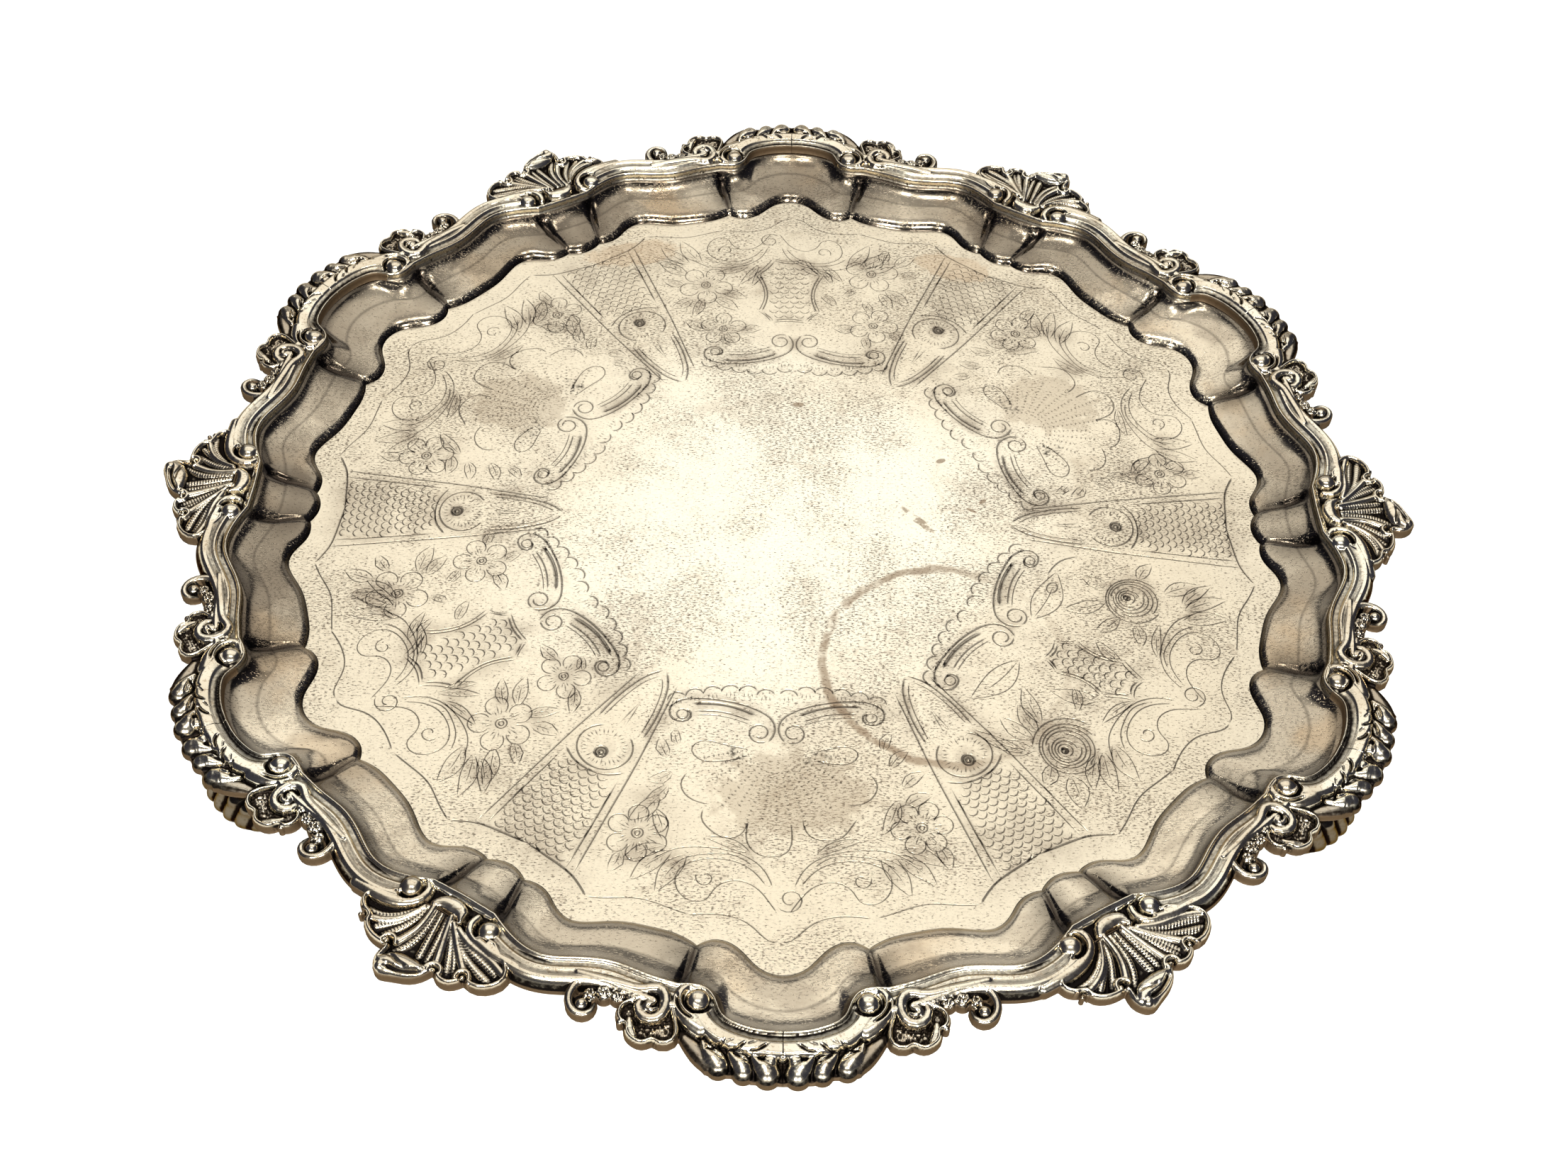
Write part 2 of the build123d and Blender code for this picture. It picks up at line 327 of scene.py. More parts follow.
def arch_relief(relief, w):
    """Half an arch, by the distance from its seam: leaf band, flame lobes and volute."""
    x, y = relief.x, relief.y
    reach = np.hypot(x, y)
    near = x < 25
    inside = np.minimum(np.interp(x, *zip(*skirt_edge)) - reach, 24.6 - x)
    relief.add(np.where(near & (w > 5.2), inside, -9), -2.9 + 0.25 * grains(x, y, 0.8, 1.0), 1.0)
    swept(relief, [(16.0, 171.4), (18.4, 169.6), (20.6, 167.2), (22.6, 164.8)], [2.3, 2.2, 1.9, 1.4],
          [-1.5, -1.6, -1.8, -2.2], 0.6, matting_and_wall_shade=1.0)
    for path, radii, crest in flame_lobes:
        swept(relief, path, radii, crest, 0.92, steps=9)
    for path, _, _ in flame_lobes:
        (x0, y0), (x1, y1), (x2, y2) = path[:3]
        groove(relief, [(x0 - 0.5, y0 + 0.4), (x1 - 1.0, y1 - 0.1), (x2 - 1.6, y2 - 0.6)], 0.5, 0.6)
    ball(relief, 2.7, 170.9, 1.5, -0.7, 1.2)
    relief.carve(1.2 * bump(relief.gap(4.8, 170.4), 0.9) * near)
    ball(relief, 0.0, 170.0, 1.0, -0.9, 0.9)
    band = np.interp(w, *zip(*band_profile))
    fringe = 6.6 + 0.7 * np.abs(np.sin((x + 0.35 * (w - 5)) * math.pi / 4.6)) - 0.5 * bump(x, 1.6)
    fade = np.clip((23.0 - x) / 2.4, 0, 1)
    relief.add(np.where(near & (w > 1.2), np.minimum(fringe - w, 23.6 - x), -9), band - (1 - fade) * 1.2)
    for start in (3.4, 8.4, 13.2):
        line = [polar_shift(start, 167.0), polar_shift(start + 1.7, 168.5), polar_shift(start + 4.2, 169.0)]
        groove(relief, line, 0.42, 0.9)
    for start in (6.0, 11.0):
        groove(relief, [polar_shift(start, 166.6), polar_shift(start + 1.9, 167.5)], 0.24, 0.4)
    eye_x, eye_y = 19.5, 156.6
    turn = [(18.6, 163.2), (21.4, 161.2), (23.2, 158.6), (23.6, 156.0), (22.5, 153.9), (20.2, 152.9), (17.8, 153.5)]
    swept(relief, turn, [2.4, 2.3, 2.0, 1.7, 1.4, 1.1, 0.8], [-0.3, -0.2, -0.15, -0.15, -0.3, -0.7, -1.3], 0.72,
          beyond(w, 1.0), 16)
    disc = np.minimum(3.8 - relief.gap(eye_x, eye_y), w - 1.2)
    relief.add(disc, -1.5 - rounded(disc, 0.8, 0.5))
    groove(relief, [(20.6, 161.4), (22.6, 160.0), (24.0, 157.8), (24.3, 155.6)], 0.45, 1.3, 12)
    groove(relief, eye_slot(eye_x, eye_y, 3.15, 150, -55, 8), 0.6, 1.6, 16)
    ball(relief, eye_x, eye_y, 2.75, 0.0, 1.9)


def eye_slot(x0, y0, radius, start, end, count):
    """Arc about a volute's eye, in degrees anticlockwise from +X."""
    angles = [math.radians(angle) for angle in np.linspace(start, end, count)]
    return [(x0 + radius * math.cos(angle), y0 + radius * math.sin(angle)) for angle in angles]


leaf_edge = [
    [(24.6, 158.0), (23.8, 161.0), (23.2, 164.2), (23.8, 166.6), (25.6, 167.9), (27.8, 168.0), (29.5, 167.2)],
    [(29.5, 167.2), (31.6, 167.9), (33.9, 167.2), (35.8, 165.2), (36.2, 163.2)],
    [(36.2, 163.2), (37.6, 162.0), (38.1, 159.8), (37.2, 157.6), (35.4, 156.4)],
]


hook_path = [(47.0, 150.4), (42.0, 152.0), (36.5, 153.4), (31.6, 154.2), (28.4, 154.0), (26.8, 156.0),
             (26.9, 159.0), (28.6, 161.2), (31.0, 161.3), (32.8, 159.6), (32.8, 157.4), (31.4, 156.4)]
curl_path = [(44.2, 151.0), (46.8, 152.4), (48.5, 154.8), (48.8, 157.6), (47.5, 159.8), (45.4, 160.5),
             (43.6, 159.5), (42.9, 157.8)]


def closed_edge(parts, closing):
    """Outline of several lobes, closed by straight lines through the closing points."""
    return np.concatenate([spline(part, 9)[:-1] for part in parts] + [np.array(closing)])


def leaf_relief(relief, w):
    """Matted leaf lobe with its small volute, the pearled clumps and the curled hook."""
    x, y = relief.x, relief.y
    edge = closed_edge(leaf_edge, [(35.4, 156.4), (31.0, 154.6)])
    inside = np.where(w > 3, inside_of(edge, x, y), -9)
    matted = -2.3 + 0.6 * grains(x, y, 0.85, 3.0) - 0.5 * bump(relief.gap(32.4, 163.0), 3.5)
    roll = np.maximum(rolled(inside, 0.85, -0.55), -2.4)
    relief.add(inside, np.where(inside < 1.6, roll, matted), np.where(inside < 1.5, 0.0, 1.0))
    swept(relief, [(33.6, 165.6), (34.6, 163.4), (34.8, 161.4)], [0.8, 1.2, 0.7], [-1.0, -0.8, -1.3], 0.8, inside)
    for pit in ((29.5, 168.0), (36.6, 163.4)):
        relief.carve(1.4 * bump(relief.gap(*pit), 1.4) * (inside > 0))
    ball(relief, 36.9, 162.4, 0.85, -0.9, 0.9)
    for x0, y0, radius in ((34.4, 156.2, 1.7), (37.6, 155.6, 2.2), (41.0, 155.2, 2.2), (44.0, 155.8, 1.8)):
        mound = radius - relief.gap(x0, y0)
        pearls = 0.75 * (grains(x, y, 1.0, 4.0) - 0.5)
        relief.add(np.minimum(mound, w - 4.4), -0.7 - rounded(mound, radius, 1.3) + pearls, 0.3)
    swept(relief, hook_path, [1.1, 1.3, 1.35, 1.35, 1.25, 1.2, 1.2, 1.3, 1.4, 1.4, 1.1, 0.7],
          [-0.5, -0.3, -0.2, -0.15, -0.15, -0.15, -0.1, -0.1, -0.15, -0.25, -0.5, -0.9], 0.75, beyond(w, 1.9), 26)
    ball(relief, 30.2, 158.7, 2.1, 0.0, 1.6)
    groove(relief, [(30.6, 155.6), (28.9, 156.2), (28.4, 157.6), (29.2, 158.6), (30.5, 158.8)], 0.45, 1.3, 14)
    groove(relief, [(28.5, 159.6), (30.0, 160.4), (31.2, 159.4)], 0.3, 0.6)
    relief.add(2.6 - relief.gap(45.9, 157.4), np.full(x.shape, -2.9))
    swept(relief, curl_path, [0.9, 1.2, 1.15, 1.05, 1.0, 0.95, 0.85, 0.6],
          [-0.7, -0.6, -0.6, -0.65, -0.7, -0.8, -1.1, -1.7], 0.95, steps=18)
    ball(relief, 45.9, 158.0, 1.7, -0.6, 1.6)


shell_rim = [
    [(-19.6, 160.4), (-21.2, 162.2), (-21.6, 164.4), (-20.7, 166.7), (-18.5, 168.8), (-15.8, 169.8),
     (-13.2, 169.5)],
    [(-13.2, 169.5), (-11.9, 171.2), (-9.6, 172.4), (-7.2, 172.1), (-5.6, 171.0)],
    [(-5.6, 171.0), (-4.3, 173.4), (-1.4, 175.8), (1.8, 177.0), (4.8, 178.0), (7.1, 176.7), (8.3, 174.2),
     (8.1, 171.6)],
    [(8.1, 171.6), (11.2, 171.5), (14.2, 170.5), (15.9, 169.0), (16.5, 167.3)],
    [(16.5, 167.3), (18.7, 166.4), (20.4, 164.7), (20.8, 162.4), (18.8, 160.6)],
]
tip_edge = [(8.2, 174.8), (7.0, 173.2), (5.4, 171.7), (3.0, 170.6), (0.0, 170.3), (-3.0, 170.5), (-5.3, 171.4)]
smooth_ribs = [
    ([(4.4, 156.0), (3.9, 160.5), (4.4, 165.0), (6.0, 168.8)], [0.8, 0.75, 0.9, 1.1]),
    ([(-1.0, 157.4), (-2.6, 162.0), (-4.2, 166.4), (-5.4, 169.4)], [0.7, 0.8, 1.0, 1.1]),
    ([(-2.6, 158.6), (-6.6, 162.6), (-10.2, 165.9), (-12.2, 167.6)], [0.7, 0.7, 0.9, 1.1]),
    ([(-4.4, 159.2), (-9.0, 160.9), (-14.5, 161.5), (-20.4, 163.4)], [0.8, 0.9, 0.9, 1.0]),
    ([(6.0, 158.4), (9.0, 163.6), (13.2, 166.4), (16.8, 167.4)], [0.5, 0.6, 0.8, 0.9]),
]
ticked_ribs = [
    ([(1.4, 157.4), (0.7, 162.0), (-0.2, 167.0), (-0.9, 171.4)], [0.5, 0.75, 0.95, 1.1]),
    ([(2.8, 157.4), (2.4, 162.4), (3.0, 167.0), (5.4, 171.6)], [0.45, 0.7, 0.9, 0.9]),
    ([(-0.4, 158.2), (-1.2, 161.6), (-2.2, 166.0), (-3.0, 170.6)], [0.4, 0.6, 0.75, 0.8]),
    ([(-1.7, 158.0), (-4.2, 162.0), (-6.8, 166.4), (-9.2, 171.0)], [0.5, 0.7, 0.9, 1.1]),
    ([(-2.4, 158.6), (-5.6, 162.8), (-8.4, 166.4), (-10.6, 170.0)], [0.4, 0.6, 0.7, 0.8]),
    ([(-3.4, 159.2), (-8.0, 163.0), (-13.0, 165.2), (-19.6, 166.8)], [0.5, 0.8, 1.1, 1.2]),
    ([(-4.0, 159.4), (-9.0, 161.9), (-14.0, 163.0), (-20.4, 164.6)], [0.5, 0.7, 0.85, 0.9]),
    ([(5.3, 157.4), (5.9, 162.0), (7.8, 165.8), (10.6, 170.2)], [0.45, 0.65, 0.9, 1.1]),
    ([(5.8, 158.2), (8.0, 163.4), (11.2, 166.6), (14.6, 169.8)], [0.45, 0.6, 0.85, 1.0]),
    ([(7.4, 160.4), (10.4, 163.4), (14.6, 165.4), (19.8, 165.4)], [0.4, 0.6, 0.9, 1.0]),
]
rim_curls = [
    [(-14.6, 169.6), (-13.8, 167.8), (-12.4, 166.9), (-11.0, 167.7), (-10.9, 169.4)],
    [(-7.6, 170.6), (-7.0, 169.4), (-5.6, 168.9), (-4.2, 169.6), (-3.6, 170.8)],
    [(5.9, 169.6), (6.7, 168.6), (8.0, 168.2), (9.2, 169.0), (9.5, 170.4)],
    [(15.6, 168.4), (15.8, 166.9), (17.2, 166.0), (18.6, 166.6)],
]


def inside_of(outline, x, y):
    """Distance in from a closed outline, negative outside it."""
    flat_x, flat_y = x.ravel(), y.ravel()
    low, high = outline.min(0) - 1, outline.max(0) + 1
    near = np.flatnonzero((flat_x > low[0]) & (flat_x < high[0]) & (flat_y > low[1]) & (flat_y < high[1]))
    px, py = flat_x[near], flat_y[near]
    best = np.full(len(near), 99.0)
    odd = np.zeros(len(near), bool)
    for (x0, y0), (x1, y1) in zip(outline, np.roll(outline, -1, 0)):
        along_x, along_y = x1 - x0, y1 - y0
        length_squared = along_x ** 2 + along_y ** 2 + 1e-12
        share = np.clip(((px - x0) * along_x + (py - y0) * along_y) / length_squared, 0, 1)
        best = np.minimum(best, np.hypot(px - x0 - share * along_x, py - y0 - share * along_y))
        if y0 != y1:
            odd ^= ((y0 > py) != (y1 > py)) & (px < x0 + (py - y0) * along_x / along_y)
    result = np.full(flat_x.shape, -9.0)
    result[near] = np.where(odd, best, -best)
    return result.reshape(x.shape)


big_scroll = [(24.0, 161.2), (20.0, 161.3), (16.0, 161.2), (12.2, 160.4), (9.4, 158.6), (8.0, 156.0),
              (8.4, 153.8), (10.4, 152.6)]
small_scroll = [(-24.0, 160.2), (-19.0, 160.0), (-14.5, 160.1), (-10.5, 159.4), (-7.4, 158.6), (-5.9, 156.6),
                (-6.2, 154.2)]


def shell_relief(relief, w):
    """The scallop shell on +Y: floor, ribs, rolled rim, folded tip, root and the two scrolls beside it."""
    x, y = relief.x, relief.y
    edge = closed_edge(shell_rim, [(14.0, 157.0), (-14.0, 157.0)])
    inside = np.where(w > 1.5, inside_of(edge, x, y), -9)
    reach = relief.gap(0.8, 153.4)
    relief.add(inside, -1.3 - 0.85 * smooth_step(3.0, 9.0, reach))
    tick_pitch = 0.78
    ticks = 0.17 * (1 - np.abs(np.sin(reach * math.pi / tick_pitch)))
    fan = np.where(inside > 0.7, inside, -9)
    for path, radii in ticked_ribs:
        over, size, place = bar(x, y, bend(path), spread(1.2 * np.array(radii), np.linspace(0, 1, 8)))
        over = np.minimum(over, fan)
        height = -0.75 - 0.72 * place - 0.85 * round_off(over, size) - ticks * np.clip(place * 5, 0, 1)
        relief.add(over, height, 0.3)
    above_floor = np.where(w > 1.5, inside + 0.4, -9)
    for path, radii in smooth_ribs:
        swept(relief, path, [1.15 * radius for radius in radii], [-0.45, -0.7, -0.85, -0.8], 0.95, above_floor, 9)
    relief.add(np.where(reach > 13.5, np.minimum(inside, 1.75 - inside), -9), rolled(inside, 0.95, -0.4))
    for path in rim_curls:
        middle_x, middle_y = path[len(path) // 2]
        pit_x, pit_y = middle_x * 1.02, middle_y + 1.5
        relief.carve(1.9 * bump(relief.gap(pit_x, pit_y), 1.35) * (inside > 0))
        swept(relief, path, [0.45, 0.55, 0.6, 0.5], [-0.5, -0.55, -0.55, -0.5], 0.95, inside, 10)
        ball(relief, pit_x + 0.2, pit_y + 0.2, 0.62, -0.9, 0.7)
    tip = np.concatenate([spline(shell_rim[2], 16), spline(tip_edge, 12)[1:-1]])
    tip_inside = inside_of(tip, x, y)
    hump = 2.3 * np.sqrt(np.clip(1 - np.clip(1 - tip_inside / 2.9, 0, 1) ** 2, 0, 1))
    relief.add(tip_inside, -2.0 + hump)
    groove(relief, [(-4.1, 171.9), (-1.6, 173.7), (1.6, 175.0), (5.0, 175.4)], 0.85, 1.1, 12)
    groove(relief, [(-0.4, 173.4), (2.2, 173.4), (4.4, 172.8), (5.8, 172.9)], 0.6, 0.6, 10)
    ball(relief, 5.3, 176.0, 1.75, 0.3, 1.9)
    ball(relief, -4.3, 170.6, 0.9, -0.5, 1.0)
    swept(relief, [(-3.4, 157.0), (-2.2, 155.4), (0.6, 154.7), (3.2, 155.2), (4.6, 156.6)],
          [1.0, 1.7, 2.1, 1.8, 1.0], [-0.6, -0.4, -0.3, -0.4, -0.6], 0.65, beyond(w, 1.7), 12)
    swept(relief, big_scroll, [1.9, 1.9, 1.9, 1.85, 1.7, 1.5, 1.2, 0.7],
          [-0.6, -0.35, -0.25, -0.2, -0.2, -0.25, -0.6, -1.3], 0.72, beyond(w, 1.2), 18)
    swept(relief, small_scroll, [1.3, 1.3, 1.3, 1.2, 1.15, 1.05, 0.8], [-0.6, -0.4, -0.3, -0.3, -0.3, -0.4, -0.9],
          0.75, beyond(w, 1.2), 18)
    groove(relief, [(-4.9, 158.2), (-4.0, 156.4), (-4.4, 153.6)], 0.55, 1.5, 10)
    for x0, y0, radius, start, end in ((-10.6, 155.9, 2.7, -80, 70), (12.4, 155.7, 2.8, 60, 240)):
        disc = np.minimum(3.5 - relief.gap(x0, y0), w - 1.1)
        relief.add(disc, -1.7 - rounded(disc, 0.6, 0.4))
        groove(relief, eye_slot(x0, y0, radius + 0.45, start, end, 7), 0.6, 1.6, 14)
        ball(relief, x0, y0, radius, 0.0, 1.9)


def casting_relief(x, y, lip):
    """Heights over the bead plane, distance in from the outline, and where the metal is matted."""
    angle = np.degrees(np.arctan2(x, y))
    w = distance_from(lip, x, y)
    lip_angle = np.degrees(np.arctan2(lip[:, 0], lip[:, 1]))
    order = np.argsort(lip_angle)
    lip_radius = np.interp(angle, lip_angle[order], np.hypot(lip[:, 0], lip[:, 1])[order])
    w = np.where(np.hypot(x, y) < lip_radius, -w, w)
    relief = Relief(x, y)
    from_arch = half_sector - np.abs(angle)
    side_zone = np.minimum(from_arch - 8.3, np.where(angle < 0, -angle - 4.4, angle - 4.8))
    for profile, zone in ((moulding_profile, side_zone > 0), (lip_profile, True)):
        inside = np.minimum(w, profile[-1][0] - w)
        relief.add(np.where(zone, inside, -9), np.interp(w, *zip(*profile)))
    relief.add(np.minimum(w - 1.3, 6.5 - w), np.full(x.shape, -3.1))
    radius = np.hypot(x, y)
    arch_angle = np.radians(from_arch)
    relief.x, relief.y = radius * np.sin(arch_angle), radius * np.cos(arch_angle)
    arch_relief(relief, w)
    leaf_relief(relief, w)
    relief.x, relief.y = x, y
    shell_relief(relief, w)
    relief.inside = np.where(w < 0, w, relief.inside)
    return relief.height, relief.inside, relief.matting_and_wall_shade


def clipped_grid(inside):
    """Cuts a grid's cells along inside = 0. Gives the new points' grid places and the faces."""
    columns, rows = inside.shape
    number = np.arange(columns * rows).reshape(columns, rows)
    keep = inside > 0
    flat, kept = inside.ravel(), keep.ravel()
    cuts = {}
    extra = []

    def cut(a, b):
        """Index of the point where the edge from node a to node b leaves the form."""
        key = (a, b) if a < b else (b, a)
        if key not in cuts:
            low, high = flat[key[0]], flat[key[1]]
            share = min(max(low / (low - high), 0.02), 0.98)
            cuts[key] = len(flat) + len(extra)
            extra.append((key[0], key[1], share))
        return cuts[key]

    corner_keeps = np.stack([keep[:-1, :-1], keep[1:, :-1], keep[1:, 1:], keep[:-1, 1:]])
    inner = corner_keeps.all(0)
    some = corner_keeps.any(0) & ~inner
    i, j = np.nonzero(inner)
    faces = np.stack([number[i, j], number[i, j + 1], number[i + 1, j + 1], number[i + 1, j]], -1).tolist()
    for i, j in np.argwhere(some).tolist():
        corners = [number[i, j], number[i, j + 1], number[i + 1, j + 1], number[i + 1, j]]
        shape = []
        for first, second in zip(corners, corners[1:] + corners[:1]):
            if kept[first]:
                shape.append(int(first))
            if kept[first] != kept[second]:
                shape.append(cut(int(first), int(second)))
        two_tips = sum(kept[c] for c in corners) == 2 and kept[corners[0]] == kept[corners[2]]
        if two_tips:
            for at, item in enumerate(shape):
                if item < len(flat):
                    faces.append([shape[at - 1], item, shape[(at + 1) % len(shape)]])
        else:
            faces.append(shape)
    return np.array(extra), faces


def border_loops(faces):
    """Closed loops of the edges that only one face uses, in that face's direction."""
    used = {}
    for face in faces:
        for first, second in zip(face, face[1:] + face[:1]):
            used[(first, second)] = True
    following = {}
    for first, second in used:
        if (second, first) not in used:
            following.setdefault(first, []).append(second)
    loops = []
    while following:
        start = next(iter(following))
        loop = [start]
        point = following[start].pop()
        if not following[start]:
            del following[start]
        while point != start:
            loop.append(point)
            step = following[point].pop()
            if not following[point]:
                del following[point]
            point = step
        loops.append(loop)
    return loops


def casting_mesh(name):
    """One border casting with its shell on +Y: relief on top, upright sides and a flat back."""
    lip = casting_lip(700)
    trim = math.degrees(0.1 * seam_gap / middle_radius)
    columns = int(math.radians(sector_angle) * middle_radius / cell)
    angles = np.radians(np.linspace(-half_sector + trim, half_sector - trim, columns))
    radii = np.linspace(inner_radius, outer_radius, int((outer_radius - inner_radius) / cell))
    angle_grid, radius_grid = np.meshgrid(angles, radii, indexing="ij")
    x, y = radius_grid * np.sin(angle_grid), radius_grid * np.cos(angle_grid)
    height, inside, matting_and_wall_shade = casting_relief(x, y, lip)
    extra, faces = clipped_grid(inside)
    low, high, share = extra[:, 0].astype(int), extra[:, 1].astype(int), extra[:, 2]
    cut_x = x.ravel()[low] * (1 - share) + x.ravel()[high] * share
    cut_y = y.ravel()[low] * (1 - share) + y.ravel()[high] * share
    cut_height, _, cut_matt = casting_relief(cut_x, cut_y, lip)
    flat_x = np.concatenate([x.ravel(), cut_x])
    flat_y = np.concatenate([y.ravel(), cut_y])
    lowest_edge = -3.4
    flat_height = np.concatenate([height.ravel(), np.clip(cut_height, lowest_edge, None)])
    flat_matting_and_shade = np.concatenate([matting_and_wall_shade.ravel(), cut_matt])
    edge_gap = np.concatenate([inside.ravel(), np.zeros(len(extra))])
    radius = np.hypot(flat_x, flat_y)
    outside = radius > wall_radius
    # Painted shade: a band along the outer edge turns brown through the matting field.
    flat_matting_and_shade = np.maximum(flat_matting_and_shade, np.where(outside, 1.7 * smooth_step(0.62, 0.12, edge_gap), 0))
    used = np.zeros(len(flat_x), bool)
    for face in faces:
        used[face] = True
    renumber = np.cumsum(used) - 1
    faces = [[int(renumber[i]) for i in face] for face in faces]
    top = np.stack([flat_x, flat_y, flat_height + bead_plane], -1)[used]

    # Dark in the hollows from tarnish and painted shade, painted shade on low ground and under the outer edge, and all
    # of it thinner beside the lip.
    tarnish_and_shade_top = cavity(flat_height, used, (columns, len(radii)), len(extra))
    beside_lip = (radius < 158.5) & (edge_gap < 3.4)
    tarnish_and_shade_top = np.where(beside_lip, 0.5 * tarnish_and_shade_top, tarnish_and_shade_top)
    low_ground_shade = 0.12 * smooth_step(-0.9, -1.9, flat_height) + 0.5 * smooth_step(-2.3, -3.2, flat_height)
    under_edge_shade = 0.6 * smooth_step(2.4, 1.0, edge_gap) * smooth_step(-0.8, -1.5, flat_height) * outside
    tarnish_and_shade_top = np.clip(tarnish_and_shade_top + low_ground_shade + under_edge_shade, 0, 1)

    # The upright walls get painted shade: brown on the outer ones, and dark on all of them through the hollows' field.
    outer_wall_shade, inner_wall_shade, wall_painted_shade = 1.6, 0.8, 0.6
    points, matting_and_wall_shades = [top], [flat_matting_and_shade[used]]
    backs = []
    total = len(top)
    for loop in border_loops(faces):
        wall = top[loop].copy()
        wall[:, 2] = bead_plane - casting_depth
        points.append(wall)
        matting_and_wall_shades.append(np.where(np.hypot(wall[:, 0], wall[:, 1]) > wall_radius, outer_wall_shade, inner_wall_shade))
        size = len(loop)
        for i in range(size):
            after = (i + 1) % size
            faces.append([loop[after], loop[i], total + i, total + after])
        backs.append([total + i for i in range(size)])
        total += size
    faces.append(max(backs, key=len))
    tarnish_and_shade = np.concatenate([tarnish_and_shade_top[used], np.full(total - len(top), wall_painted_shade)])
    return new_object(name, np.concatenate(points), faces, {"matting_and_wall_shade": np.concatenate(matting_and_wall_shades), "tarnish_and_shade": tarnish_and_shade})


def cavity(heights, used, shape, extra_count):
    """How much lower each point lies than the metal around it, 0 to 1."""
    count = shape[0] * shape[1]
    grid = np.where(used[:count], heights[:count], -casting_depth).reshape(shape)
    near = grid
    for reach in (1, 2, 4):
        steps = (-reach, 0, reach)
        near = sum(np.roll(np.roll(near, step_x, 0), step_y, 1) for step_x in steps for step_y in steps) / 9
    black_depth, resting, cut_edge = 0.46, 0.18, 0.25
    depth = np.clip((near - grid) / black_depth + resting, 0, 1).ravel()
    return np.concatenate([depth, np.full(extra_count, cut_edge)])


